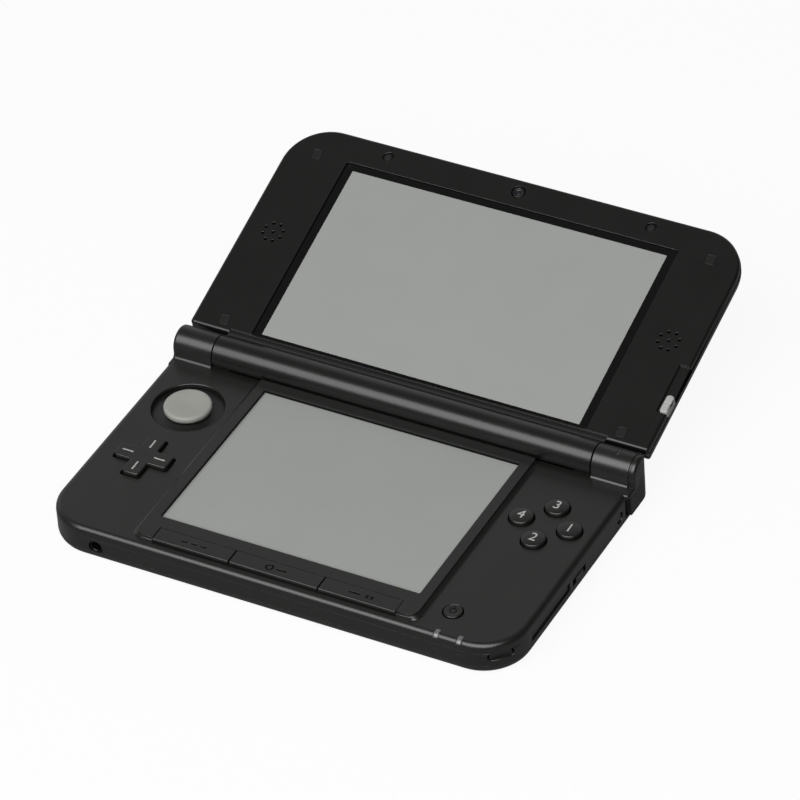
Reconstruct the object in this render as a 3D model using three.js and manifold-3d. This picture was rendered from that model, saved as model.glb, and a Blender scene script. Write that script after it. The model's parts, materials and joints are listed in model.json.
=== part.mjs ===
// A clamshell handheld game console, opened flat enough to play: a base with a touch screen and its
// controls, and a lid with a wide screen, joined by a barrel hinge. Millimetres, +Z up, +X to the player's
// right and +Y away from the player. The origin is the centre of the base's flat underside.

import * as THREE from 'three';
import { mergeVertices } from 'three/addons/utils/BufferGeometryUtils.js';
import Module from 'manifold-3d';

const wasm = await Module();
wasm.setup();

// Clearances and walls
const FIT = 0.3;
const BASE_WALL = 1.4;
const COVER_WALL = 1.1;
const LID_WALL = 1.2;

// Lower screen and the raised surround with the row of three keys in front of it
const LOWER_WINDOW_WIDTH = 86.6;
const LOWER_WINDOW_DEPTH = 64.54;
const SURROUND_SIDE_RIM = 3.4;
const SURROUND_FRONT_RIM = 4.28;
const SURROUND_CORNER = 4;
const SURROUND_RISE = 1.55;
const GLASS_BELOW_SURROUND = 1.15;
const GLASS_THICKNESS = 0.7;
const LCD_THICKNESS = 1.9;
const KEY_ROW_DEPTH = 5.75;
const KEY_ROW_FROM_SIDE = 6.15;
const HOME_KEY_LENGTH = 29.1;
const KEY_GAP = 0.5;

// Base
const SIDE_PANEL_WIDTH = 31.3;
const FRONT_LEDGE = 2.9;
const HINGE_SETBACK = 9.48;
const REAR_LEDGE = 6.05;
const BASE_HEIGHT = 11.2;
const FRONT_CORNER = 14.5;
const REAR_CORNER = 3.8;
const UNDERSIDE_EDGE = 3.2;
const DECK_EDGE = 1.4;
const DECK_THICKNESS = 1.3;
const COVER_HEIGHT = 3.4;
const DECK_SEAM_DROP = 3.2;
const CASE_INSET = 0.4;
const DECK_INSET = 0.5;
const FLOOR_THICKNESS = 0.8;
const BOARD_DROP = 2.5;
const BOARD_THICKNESS = 1;
const RUBBER_THICKNESS = 0.5;

// Hinge and lid
const OPEN_ANGLE = 162.35;
const BARREL_RADIUS = 5.1;
const BARREL_FROM_SIDE = 13.9;
const BARREL_WALL = 1.4;
const BARREL_RUNNING_GAP = 0.35;
const KNUCKLE_SIDE_INSET = 0.7;
const HINGE_ABOVE_DECK = 2.85;
const HINGE_PIN_RADIUS = 1.8;
const CLUTCH_RADIUS = 3;
const LID_THICKNESS = 8.85;
const LID_REST_GAP = 0.4;
const LID_CORNER = 15;
const LID_FOOT = 6.6;
const LID_BACK_EDGE = 3.2;
const LID_FRONT_EDGE = 0.8;
const LID_INSET = 0.5;
const BEZEL_SKIN = 1.3;
const BEZEL_DEPTH = 2.5;
const LENS_THICKNESS = 0.8;
const LENS_DROP = 0.5;
const LID_SIDE_PANEL = 24.035;
const LID_HEAD_PANEL = 12.75;
const UPPER_WINDOW_SETBACK = 9.44;
const LENS_RIM = 2.85;

// Controls on the base
const PAD_BACK_FROM_HINGE = 24.8;
const PAD_CAP_RADIUS = 7.45;
const PAD_WELL_RADIUS = 11.3;
const PAD_TRAVEL = 2.5;
const PAD_RISE = 1.6;
const CROSS_SPAN = 18;
const CROSS_ARM = 6;
const CROSS_RISE = 1.3;
const CROSS_BEHIND_FRONT = 35.95;
const CROSS_FROM_PANEL_CENTRE = 0.45;
const FACE_BUTTON_RADIUS = 3.7;
const FACE_BUTTON_PITCH = 7.9;
const FACE_BUTTON_RISE = 1.2;
const FACE_BUTTON_TRAVEL = 0.8;
const FACE_BUTTONS_FROM_HINGE = 30.15;
const POWER_RADIUS = 2.9;
const POWER_BEHIND_FRONT = 11.3;
const KEY_TRAVEL = 0.4;
const SHOULDER_LENGTH = 19.9;
const SHOULDER_SIDE = 14.8;
const SHOULDER_WALL = 2.5;
const SHOULDER_SWING_GAP = 0.8;
const SHOULDER_BELOW_DECK = 0.5;

// Ports and side fittings
const SIDE_FITTING_HEIGHT = 6.2;
const VOLUME_TRAVEL = 3;
const WIRELESS_TRAVEL = 1.6;
const SLIDER_KNOB = 4.6;
const SLIDER_SLOT = 2.4;
const SLIDER_THICKNESS = 1.8;
const NOTICE_FROM_BARREL = 7.1;
const NOTICE_WIDTH = 0.9;
const NOTICE_LENGTH = 2.2;
const STYLUS_RADIUS = 1.8;
const STYLUS_LENGTH = 65;
const STYLUS_FROM_HINGE = 13.45;
const CARD_SLOT_WIDTH = 35;
const CARD_SLOT_HEIGHT = 4.1;
const CARD_SLOT_DEPTH = 32;
const CARD_SLOT_X = -10;
const CARD_READER_WALL = 0.4;
const CARD_READER_FLOOR = 0.8;
const CARD_READER_END = 3;
const MEMORY_DOOR_LENGTH = 25;
const MEMORY_DOOR_FRONT = 15.5;
const MEMORY_SLOT_HEIGHT = 2.3;
const MEMORY_READER_DEPTH = 25.3;
const JACK_RADIUS = 2.3;
const JACK_BORE = 1.75;
const JACK_HEIGHT = 5.1;
const JACK_FROM_SIDE = 19.3;
const PORT_X = 27;
const PORT_WIDTH = 8.6;
const PORT_HEIGHT = 2.4;
const SOCKET_SHELL = 1;
const IR_X = 44.5;
const IR_HEIGHT = 2.9;
const IR_WIDTH = 9;
const SOCKET_DEPTH = 9;
const BATTERY_WIDTH = 50;
const BATTERY_DEPTH = 36;
const BATTERY_X = -13;
const BATTERY_BEHIND_FRONT = 19.5;
const STRAP_SLOT_LENGTH = 8;
const STRAP_SLOT_HEIGHT = 2.8;
const STRAP_BAR_RADIUS = 0.9;
const STRAP_BAR_REACH = 12;
const STRAP_ANGLE = -42;

// Lid fittings
const SPEAKER_RADIUS = 6;
const SPEAKER_RING = 3.3;
const SPEAKER_HOLE = 0.6;
const SPEAKER_UP = 45.15;
const SPEAKER_FROM_SIDE = 10.4;
const CAMERA_LINE_DROP = 4.85;
const INNER_CAMERA_RADIUS = 1.9;
const OUTER_CAMERA_RADIUS = 3;
const OUTER_CAMERA_X = 17.5;
const BUMPER_RADIUS = 1.5;
const BUMPER_FROM_SIDE = 32.8;
const SCREW_COVER_SIZE = 3.3;
const SCREW_COVER_FROM_SIDE = 10.5;
const DEPTH_SLIDER_TRAVEL = 10.9;
const DEPTH_KNOB_LENGTH = 6.5;
const DEPTH_SLIDER_UP = 20.7;
const DEPTH_KNOB_RISE = 0.5;

// Places that follow from the sizes above
const SURROUND_HALF = LOWER_WINDOW_WIDTH / 2 + SURROUND_SIDE_RIM;
const HALF_WIDTH = SURROUND_HALF + SIDE_PANEL_WIDTH;
const FRONT_BAND = FRONT_LEDGE + KEY_ROW_DEPTH + SURROUND_FRONT_RIM;
const DEPTH = FRONT_BAND + LOWER_WINDOW_DEPTH + HINGE_SETBACK + REAR_LEDGE;
const FRONT = -DEPTH / 2;
const REAR = DEPTH / 2;
const SURROUND_FRONT = FRONT + FRONT_LEDGE;
const KEY_ROW_BACK = SURROUND_FRONT + KEY_ROW_DEPTH;
const WINDOW_FRONT = KEY_ROW_BACK + SURROUND_FRONT_RIM;
const WINDOW_BACK = WINDOW_FRONT + LOWER_WINDOW_DEPTH;
const HINGE_Y = WINDOW_BACK + HINGE_SETBACK;
const HINGE_Z = BASE_HEIGHT + HINGE_ABOVE_DECK;
const SURROUND_TOP = BASE_HEIGHT + SURROUND_RISE;
const SURROUND_BACK = HINGE_Y - BARREL_RADIUS - BARREL_RUNNING_GAP - 0.1;
const GLASS_TOP = SURROUND_TOP - GLASS_BELOW_SURROUND;
const GLASS_BOTTOM = GLASS_TOP - GLASS_THICKNESS;
const LCD_BOTTOM = GLASS_BOTTOM - LCD_THICKNESS;
const GLASS_HALF = LOWER_WINDOW_WIDTH / 2 + SURROUND_SIDE_RIM / 2;
const GLASS_LAP = 1.7;
const DECK_SEAM = BASE_HEIGHT - DECK_SEAM_DROP;
const DECK_UNDERSIDE = BASE_HEIGHT - DECK_THICKNESS;
const BOARD_TOP = DECK_UNDERSIDE - BOARD_DROP;
const BOARD_BOTTOM = BOARD_TOP - BOARD_THICKNESS;
const RUBBER_TOP = BOARD_TOP + RUBBER_THICKNESS;
const FLOOR_TOP = COVER_HEIGHT + FLOOR_THICKNESS;
const WALL_INSET = CASE_INSET + BASE_WALL;
const INNER_HALF = HALF_WIDTH - WALL_INSET;
const BARREL_HALF = HALF_WIDTH - BARREL_FROM_SIDE;
const TROUGH_RADIUS = BARREL_RADIUS + BARREL_RUNNING_GAP;
const TROUGH_FLOOR = HINGE_Z - TROUGH_RADIUS;
const KNUCKLE_START = BARREL_HALF + FIT;
const KNUCKLE_END = HALF_WIDTH - KNUCKLE_SIDE_INSET;
const PANEL_CENTRE = SURROUND_HALF + SIDE_PANEL_WIDTH / 2;
const LID_FACE = HINGE_Z - SURROUND_TOP - LID_REST_GAP;
const LID_BACK = LID_FACE - LID_THICKNESS;
const LID_TOP = HINGE_Y - FRONT;
const LID_SEAM = LID_FACE - BEZEL_DEPTH;
const CAMERA_LINE = LID_TOP - CAMERA_LINE_DROP;
const UPPER_WINDOW_HALF = HALF_WIDTH - LID_SIDE_PANEL;
const UPPER_WINDOW_HEAD = LID_TOP - LID_HEAD_PANEL;
const BUMPER_X = HALF_WIDTH - BUMPER_FROM_SIDE;

// Finishes
const finish = (
  color,
  roughness,
  metalness = 0,
) => new THREE.MeshStandardMaterial({ color, roughness, metalness });
const blackPlastic = () => finish(0x32322f, 0.45);
const darkBezel = () => finish(0x242422, 0.42);
const glossBlack = () => finish(0x16171a, 0.15);
const softRubber = () => finish(0x2b2b29, 0.8);
const screenGray = () => finish(0x96999a, 0.25);
const lightPlastic = () => finish(0xb4b4ac, 0.5);
const clearPlastic = () => finish(0x8f9590, 0.3);
const metalGray = () => finish(0x9a9a98, 0.35, 0.8);
const boardGreen = () => finish(0x1f4a33, 0.6);
const cellGray = () => finish(0x6f7377, 0.5);

// Shape tools
function closedSolid(geometry) {
  const bare = geometry.index ? geometry.toNonIndexed() : geometry.clone();
  bare.deleteAttribute('normal');
  bare.deleteAttribute('uv');
  const merged = mergeVertices(bare, 1e-4);
  const position = merged.attributes.position;
  const corners = [0, 1, 2].map(() => new THREE.Vector3());
  const faces = [];
  let volume = 0;
  for (let i = 0; i < merged.index.count; i += 3) {
    const ids = [0, 1, 2].map((k) => merged.index.getX(i + k));
    if (new Set(ids).size < 3) continue;
    ids.forEach((id, k) => corners[k].fromBufferAttribute(position, id));
    volume += corners[0].dot(corners[1].clone().cross(corners[2]));
    faces.push(ids);
  }
  const ordered = volume < 0 ? faces.map(([a, b, c]) => [a, c, b]) : faces;
  return new wasm.Manifold(new wasm.Mesh({
    numProp: 3,
    vertProperties: new Float32Array(position.array),
    triVerts: new Uint32Array(ordered.flat()),
  }));
}

const join = (first, ...others) => others.reduce((sum, next) => sum.add(next), first);
const cut = (first, ...others) => others.reduce((rest, next) => rest.subtract(next), first);

function block(x0, x1, y0, y1, z0, z1) {
  const geometry = new THREE.BoxGeometry(x1 - x0, y1 - y0, z1 - z0);
  geometry.translate((x0 + x1) / 2, (y0 + y1) / 2, (z0 + z1) / 2);
  return closedSolid(geometry);
}

function rodZ(x, y, radius, z0, z1, segments = 24, topRadius = radius) {
  const geometry = new THREE.CylinderGeometry(topRadius, radius, z1 - z0, segments);
  geometry.rotateX(Math.PI / 2);
  geometry.translate(x, y, (z0 + z1) / 2);
  return closedSolid(geometry);
}

function rodX(y, z, radius, x0, x1, segments = 40) {
  const geometry = new THREE.CylinderGeometry(radius, radius, x1 - x0, segments);
  geometry.rotateZ(-Math.PI / 2);
  geometry.translate((x0 + x1) / 2, y, z);
  return closedSolid(geometry);
}

function rodY(x, z, radius, y0, y1, segments = 24) {
  const geometry = new THREE.CylinderGeometry(radius, radius, y1 - y0, segments);
  geometry.translate(x, (y0 + y1) / 2, z);
  return closedSolid(geometry);
}

// A turned piece about the Z axis, from [radius, height] pairs
function turned(profile, segments = 32) {
  const geometry = new THREE.LatheGeometry(profile.map(([r, z]) => new THREE.Vector2(r, z)), segments);
  geometry.rotateX(Math.PI / 2);
  return closedSolid(geometry);
}

// A rectangle with its own corner radius at the front and at the back
function roundedOutline(half, y0, y1, frontRadius, backRadius, frontSteps = 6, backSteps = 4) {
  const points = [];
  const arc = (cx, cy, radius, startAngle, steps) => {
    for (let i = 0; i <= steps; i += 1) {
      const angle = startAngle + (Math.PI / 2) * (i / steps);
      points.push(new THREE.Vector2(cx + radius * Math.cos(angle), cy + radius * Math.sin(angle)));
    }
  };
  arc(half - frontRadius, y0 + frontRadius, frontRadius, -Math.PI / 2, frontSteps);
  arc(half - backRadius, y1 - backRadius, backRadius, 0, backSteps);
  arc(-half + backRadius, y1 - backRadius, backRadius, Math.PI / 2, backSteps);
  arc(-half + frontRadius, y0 + frontRadius, frontRadius, Math.PI, frontSteps);
  return points;
}

// A solid through a stack of outlines that have the same number of points, each { z, points }
function loft(rings) {
  const count = rings[0].points.length;
  const positions = rings.flatMap(({ z, points }) => points.flatMap((p) => [p.x, p.y, z]));
  const faces = [];
  for (let level = 0; level + 1 < rings.length; level += 1) {
    for (let i = 0; i < count; i += 1) {
      const next = (i + 1) % count;
      const low = level * count;
      const high = low + count;
      faces.push(low + i, low + next, high + next, low + i, high + next, high + i);
    }
  }
  const cap = THREE.ShapeUtils.triangulateShape(rings[0].points, []);
  const last = (rings.length - 1) * count;
  cap.forEach(([a, b, c]) => faces.push(c, b, a, last + a, last + b, last + c));
  const geometry = new THREE.BufferGeometry();
  geometry.setAttribute('position', new THREE.Float32BufferAttribute(positions, 3));
  geometry.setIndex(faces);
  return closedSolid(geometry);
}

// A shape in the YZ plane, stretched along X
function stretched(pairs, x0, x1) {
  const shape = new THREE.Shape(pairs.map(([y, z]) => new THREE.Vector2(y, z)));
  const geometry = new THREE.ExtrudeGeometry(shape, { depth: x1 - x0, bevelEnabled: false });
  geometry.applyMatrix4(new THREE.Matrix4().set(0, 0, 1, x0, 1, 0, 0, 0, 0, 1, 0, 0, 0, 0, 0, 1));
  return closedSolid(geometry);
}

// A shape in the XZ plane, stretched along Y
function alongY(pairs, y0, y1) {
  const shape = new THREE.Shape(pairs.map(([x, z]) => new THREE.Vector2(x, z)));
  const geometry = new THREE.ExtrudeGeometry(shape, { depth: y1 - y0, bevelEnabled: false });
  geometry.applyMatrix4(new THREE.Matrix4().set(1, 0, 0, 0, 0, 0, 1, y0, 0, 1, 0, 0, 0, 0, 0, 1));
  return closedSolid(geometry);
}

// Insets for a quarter-round edge that reaches its full width after `radius` of height
function edgeSteps(z, inset, radius, direction, steps = 4) {
  return Array.from({ length: steps + 1 }, (_, i) => {
    const angle = (Math.PI / 2) * (i / steps);
    return [z + direction * radius * (1 - Math.cos(angle)), inset + radius * (1 - Math.sin(angle))];
  });
}

const shellLoft = (levels, ring) => loft(levels.map(([z, inset]) => ({ z, points: ring(inset) })));

function mesh(name, shape, material, parent, place = [0, 0, 0]) {
  const data = shape.getMesh();
  const geometry = new THREE.BufferGeometry();
  geometry.setAttribute('position', new THREE.Float32BufferAttribute(data.vertProperties, 3));
  geometry.setIndex(Array.from(data.triVerts));
  geometry.computeVertexNormals();
  const piece = new THREE.Mesh(geometry, material);
  piece.name = name;
  piece.position.set(...place);
  parent.add(piece);
}

const handheld = new THREE.Group();
const base = new THREE.Group();
const lid = new THREE.Group();
lid.position.set(0, HINGE_Y, HINGE_Z);
lid.rotation.x = THREE.MathUtils.degToRad(180 - OPEN_ANGLE);
handheld.add(base, lid);

// Plan of the base at a given inset from its widest outline
const baseRing = (inset) => roundedOutline(
  HALF_WIDTH - inset,
  FRONT + inset,
  REAR - inset,
  FRONT_CORNER - inset,
  Math.max(REAR_CORNER - inset, 0.6),
);

// Places of the controls and side fittings
const padX = -(PANEL_CENTRE - 0.85);
const padY = HINGE_Y - PAD_BACK_FROM_HINGE;
const crossX = -(PANEL_CENTRE - CROSS_FROM_PANEL_CENTRE);
const crossY = FRONT + CROSS_BEHIND_FRONT;
const faceX = PANEL_CENTRE - 0.35;
const faceY = HINGE_Y - FACE_BUTTONS_FROM_HINGE;
const powerX = PANEL_CENTRE - 7.45;
const powerY = FRONT + POWER_BEHIND_FRONT;
const stylusY = HINGE_Y - STYLUS_FROM_HINGE;
const volumeY = 6;
const wirelessY = -0.1;
const wirelessZ = 5.5;
const memoryFront = FRONT + MEMORY_DOOR_FRONT;
const memoryBack = memoryFront + MEMORY_DOOR_LENGTH;
const jackX = -(HALF_WIDTH - JACK_FROM_SIDE);
const keyStemY = SURROUND_FRONT + KEY_ROW_DEPTH / 2;
const keyHalf = SURROUND_HALF - KEY_ROW_FROM_SIDE;
const homeHalf = HOME_KEY_LENGTH / 2;
const keySpans = {
  select_button: [-keyHalf + KEY_GAP / 2, -homeHalf - KEY_GAP],
  home_button: [-homeHalf, homeHalf],
  start_button: [homeHalf + KEY_GAP, keyHalf - KEY_GAP / 2],
};
const facePlaces = {
  face_button_1: [faceX + FACE_BUTTON_PITCH, faceY],
  face_button_2: [faceX, faceY - FACE_BUTTON_PITCH],
  face_button_3: [faceX, faceY + FACE_BUTTON_PITCH],
  face_button_4: [faceX - FACE_BUTTON_PITCH, faceY],
};
const sides = { left: -1, right: 1 };
const coverScrewX = HALF_WIDTH - 7;
const coverScrewY = -2;
const lightXs = { power_light_guide: powerX - 0.2, charge_light_guide: powerX + 7.2 };
const lightY = FRONT + DECK_INSET + DECK_EDGE * 0.7;

// Bottom cover: a shallow tray with a rounded edge and a counterbore for each of its two screws
const SCREW_HEAD = 2.3;
const SCREW_SHANK = 1;
const SCREW_BOSS = 3.2;
const bossTop = COVER_HEIGHT - 1;
const cardHalf = CARD_SLOT_WIDTH / 2;
const readerTop = DECK_SEAM - 0.05;
const readerBottom = readerTop - CARD_READER_WALL - CARD_SLOT_HEIGHT - CARD_READER_FLOOR;
const jackHole = rodY(jackX, JACK_HEIGHT, JACK_RADIUS + FIT, FRONT - 1, FRONT + 4);
const readerRoom = {
  x0: CARD_SLOT_X - cardHalf - 1.1,
  x1: CARD_SLOT_X + cardHalf + 1.1,
  y0: REAR - CARD_SLOT_DEPTH - CARD_READER_END - FIT,
};
const cardGate = block(
  CARD_SLOT_X - cardHalf,
  CARD_SLOT_X + cardHalf,
  REAR - 4,
  REAR + 1,
  COVER_HEIGHT - 1,
  DECK_SEAM + 1,
);

function bottomCover() {
  const outer = shellLoft([...edgeSteps(0, 0, UNDERSIDE_EDGE, 1), [COVER_HEIGHT, 0]], baseRing);
  const hollow = shellLoft(
    [
      [COVER_WALL, UNDERSIDE_EDGE - 0.2], [COVER_WALL * 2, UNDERSIDE_EDGE / 2],
      [COVER_HEIGHT + 1, LID_WALL],
    ],
    baseRing,
  );
  let shape = cut(outer, hollow);
  for (const side of [-1, 1]) {
    const x = side * coverScrewX;
    shape = join(shape, rodZ(x, coverScrewY, SCREW_BOSS, COVER_WALL / 2, bossTop));
    shape = cut(shape, rodZ(x, coverScrewY, SCREW_HEAD + FIT, -1, COVER_WALL));
    shape = cut(shape, rodZ(x, coverScrewY, SCREW_SHANK + FIT, 0, COVER_HEIGHT + 1, 16));
  }
  return cut(shape, jackHole);
}

// Bottom case: the middle shell with a floor, the side wall's slots and the posts that carry the board
const shoulderStart = HALF_WIDTH - SHOULDER_LENGTH;
const shoulderFront = REAR - SHOULDER_SIDE;
const shoulderTop = BASE_HEIGHT - SHOULDER_BELOW_DECK;
const shoulderBottom = FLOOR_TOP + FIT;
const batteryBox = {
  x0: BATTERY_X - BATTERY_WIDTH / 2,
  x1: BATTERY_X + BATTERY_WIDTH / 2,
  y0: FRONT + BATTERY_BEHIND_FRONT,
  y1: FRONT + BATTERY_BEHIND_FRONT + BATTERY_DEPTH,
};
const jackBody = {
  half: 4.2,
  front: FRONT + 2.2,
  back: FRONT + 13.5,
  bottom: JACK_HEIGHT - 2.7,
  top: JACK_HEIGHT + 2.8,
};
const memoryReader = {
  x0: INNER_HALF - 1.7 - MEMORY_READER_DEPTH,
  x1: INNER_HALF - 1.7,
  y0: memoryFront - 0.5,
  y1: memoryBack + 0.5,
  bottom: FLOOR_TOP,
  top: FLOOR_TOP + MEMORY_SLOT_HEIGHT + 0.8,
};
const knobHalf = SLIDER_KNOB / 2;
const volumeZ = SIDE_FITTING_HEIGHT;
const socketTop = FLOOR_TOP + PORT_HEIGHT + SOCKET_SHELL;
const stylusZ = SIDE_FITTING_HEIGHT;
const stylusHole = rodX(stylusY, stylusZ, STYLUS_RADIUS + FIT, INNER_HALF - 1, HALF_WIDTH + 1, 24);
const wirelessLight = { y: stylusY - 13.1, z: 6.6, radius: 0.6 };

// The ring between the base's outline and its inner wall at both rear corners, where the shoulder buttons
// swing
function shoulderSpace(z0, z1) {
  const ring = cut(
    shellLoft([[z0, -1], [z1, -1]], baseRing),
    shellLoft([[z0 - 1, SHOULDER_WALL + 0.7], [z1 + 1, SHOULDER_WALL + 0.7]], baseRing),
  );
  const right = block(
    shoulderStart - 0.5,
    HALF_WIDTH + 2,
    shoulderFront - SHOULDER_SWING_GAP,
    REAR + 2,
    z0 - 2,
    z1 + 2,
  );
  const left = block(
    -HALF_WIDTH - 2,
    -shoulderStart + 0.5,
    shoulderFront - SHOULDER_SWING_GAP,
    REAR + 2,
    z0 - 2,
    z1 + 2,
  );
  return ring.intersect(join(right, left));
}

function strapSlot() {
  const slot = new THREE.BoxGeometry(5, STRAP_SLOT_LENGTH, STRAP_SLOT_HEIGHT);
  slot.translate(FRONT_CORNER - 0.6, 0, SIDE_FITTING_HEIGHT + 0.3);
  slot.rotateZ(THREE.MathUtils.degToRad(STRAP_ANGLE));
  slot.translate(HALF_WIDTH - FRONT_CORNER, FRONT + FRONT_CORNER, 0);
  return closedSolid(slot);
}

function bottomCase() {
  const outer = shellLoft([[COVER_HEIGHT, CASE_INSET], [DECK_SEAM, CASE_INSET]], baseRing);
  const hollow = shellLoft([[FLOOR_TOP, WALL_INSET], [DECK_SEAM + 1, WALL_INSET]], baseRing);
  let shape = cut(outer, hollow);
  const postX = HALF_WIDTH - 8;
  const posts = [
    [-postX, crossY - 4],
    [-postX, padY + 10.4],
    [-SURROUND_HALF * 0.6, keyStemY + 1.7],
    [SURROUND_HALF * 0.6, keyStemY + 1.7],
    [postX - 2, faceY + 8.7],
    [batteryBox.x1 + 20, faceY + 0.7],
    [readerRoom.x0 - 5.4, padY + 12.4],
  ];
  for (const [x, y] of posts) {
    shape = join(shape, rodZ(x, y, 1.8, COVER_HEIGHT + 0.2, BOARD_BOTTOM, 16));
  }
  for (const side of [-1, 1]) {
    shape = join(
      shape,
      rodZ(side * coverScrewX, coverScrewY, SCREW_BOSS - 0.6, bossTop, FLOOR_TOP + 0.8, 20),
    );
    shape = cut(
      shape,
      rodZ(side * coverScrewX, coverScrewY, SCREW_SHANK + FIT, bossTop - 1, FLOOR_TOP, 16),
    );
  }
  const z0 = COVER_HEIGHT - 1;
  const z1 = FLOOR_TOP + 1;
  const volumeRun = knobHalf + VOLUME_TRAVEL + FIT;
  const wirelessRun = knobHalf + WIRELESS_TRAVEL + FIT;
  const slotHalf = SLIDER_SLOT / 2;
  const socketHalf = PORT_WIDTH / 2 + SOCKET_SHELL + FIT;
  const holes = [
    shoulderSpace(FLOOR_TOP, DECK_SEAM + 1),
    block(batteryBox.x0 - FIT, batteryBox.x1 + FIT, batteryBox.y0 - FIT, batteryBox.y1 + FIT, z0, z1),
    block(
      jackX - jackBody.half - FIT,
      jackX + jackBody.half + FIT,
      jackBody.front - FIT,
      jackBody.back + FIT,
      z0,
      z1,
    ),
    jackHole,
    block(readerRoom.x0, readerRoom.x1, readerRoom.y0, REAR - WALL_INSET - 0.1, z0, z1),
    cardGate,
    block(PORT_X - socketHalf, PORT_X + socketHalf, REAR - 4, REAR + 1, FLOOR_TOP, socketTop + 0.1),
    block(
      IR_X - IR_WIDTH / 2 - FIT,
      IR_X + IR_WIDTH / 2 + FIT,
      REAR - 4,
      REAR + 1,
      FLOOR_TOP,
      FLOOR_TOP + IR_HEIGHT + FIT,
    ),
    block(INNER_HALF - 1, HALF_WIDTH + 1, memoryFront, memoryBack, FLOOR_TOP, memoryReader.top + 0.2),
    block(
      INNER_HALF - 1,
      HALF_WIDTH + 1,
      wirelessY - wirelessRun,
      wirelessY + wirelessRun,
      wirelessZ - slotHalf,
      wirelessZ + slotHalf,
    ),
    block(
      -HALF_WIDTH - 1,
      1 - INNER_HALF,
      volumeY - volumeRun,
      volumeY + volumeRun,
      volumeZ - slotHalf,
      volumeZ + slotHalf,
    ),
    stylusHole,
    strapSlot(),
    rodX(
      wirelessLight.y,
      wirelessLight.z,
      wirelessLight.radius + 0.2,
      INNER_HALF - 1,
      HALF_WIDTH + 1,
      12,
    ),
  ];
  const strapTurn = THREE.MathUtils.degToRad(STRAP_ANGLE);
  const strapBar = rodZ(
    HALF_WIDTH - FRONT_CORNER + STRAP_BAR_REACH * Math.cos(strapTurn),
    FRONT + FRONT_CORNER + STRAP_BAR_REACH * Math.sin(strapTurn),
    STRAP_BAR_RADIUS,
    COVER_HEIGHT + 0.2,
    DECK_SEAM,
    12,
  );
  return join(cut(shape, ...holes), strapBar);
}

// Stems of the front keys and bars of the front lights, each also cut from the deck with some room
const KEY_STEM_LENGTH = 10;
const KEY_STEM_WIDTH = 2.4;
const LIGHT_LENGTH = 1.5;
const LIGHT_WIDTH = 0.6;

function keyStem([x0, x1], room, z0, z1) {
  const middle = (x0 + x1) / 2;
  const halfX = KEY_STEM_LENGTH / 2 + room;
  const halfY = KEY_STEM_WIDTH / 2 + room;
  return block(middle - halfX, middle + halfX, keyStemY - halfY, keyStemY + halfY, z0, z1);
}

function lightBar(x, room, z0, z1) {
  const halfX = LIGHT_LENGTH / 2 + room;
  const halfY = LIGHT_WIDTH / 2 + room;
  return block(x - halfX, x + halfX, lightY - halfY, lightY + halfY, z0, z1);
}

// Deck: the top case with the control holes, the trough under the barrel and the two hinge knuckles
const deckHole = (x, y, radius, segments = 22) => rodZ(
  x,
  y,
  radius,
  DECK_UNDERSIDE - 1,
  BASE_HEIGHT + 1,
  segments,
);
const glassFront = WINDOW_FRONT - GLASS_LAP;
const glassBack = WINDOW_BACK + GLASS_LAP;
const clutchReach = 10.3;
const noticeX = KNUCKLE_START + NOTICE_FROM_BARREL;

function noticeSlot(room, z0, z1) {
  return block(
    noticeX - NOTICE_WIDTH / 2 - room,
    noticeX + NOTICE_WIDTH / 2 + room,
    HINGE_Y - NOTICE_LENGTH / 2 - room,
    HINGE_Y + NOTICE_LENGTH / 2 + room,
    z0,
    z1,
  );
}

function crossShape(span, arm, z0, z1) {
  return join(
    block(crossX - span / 2, crossX + span / 2, crossY - arm / 2, crossY + arm / 2, z0, z1),
    block(crossX - arm / 2, crossX + arm / 2, crossY - span / 2, crossY + span / 2, z0, z1),
  );
}

function knuckle(side) {
  const arch = new THREE.Shape();
  arch.moveTo(HINGE_Y - BARREL_RADIUS, DECK_UNDERSIDE);
  arch.lineTo(HINGE_Y + BARREL_RADIUS, DECK_UNDERSIDE);
  arch.lineTo(HINGE_Y + BARREL_RADIUS, HINGE_Z);
  arch.absarc(HINGE_Y, HINGE_Z, BARREL_RADIUS, 0, Math.PI, false);
  const edge = 1.2;
  const geometry = new THREE.ExtrudeGeometry(arch, {
    depth: KNUCKLE_END - KNUCKLE_START,
    curveSegments: 14,
    bevelThickness: edge,
    bevelSize: edge,
    bevelOffset: -edge,
    bevelSegments: 2,
  });
  geometry.translate(0, 0, KNUCKLE_START - edge);
  geometry.applyMatrix4(new THREE.Matrix4().set(0, 0, side, 0, 1, 0, 0, 0, 0, 1, 0, 0, 0, 0, 0, 1));
  const inner = block(-KNUCKLE_START, KNUCKLE_START, FRONT, REAR, 0, 2 * HINGE_Z);
  const floor = block(-HALF_WIDTH, HALF_WIDTH, FRONT, REAR, 0, DECK_UNDERSIDE);
  return cut(closedSolid(geometry), inner, floor);
}

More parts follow.
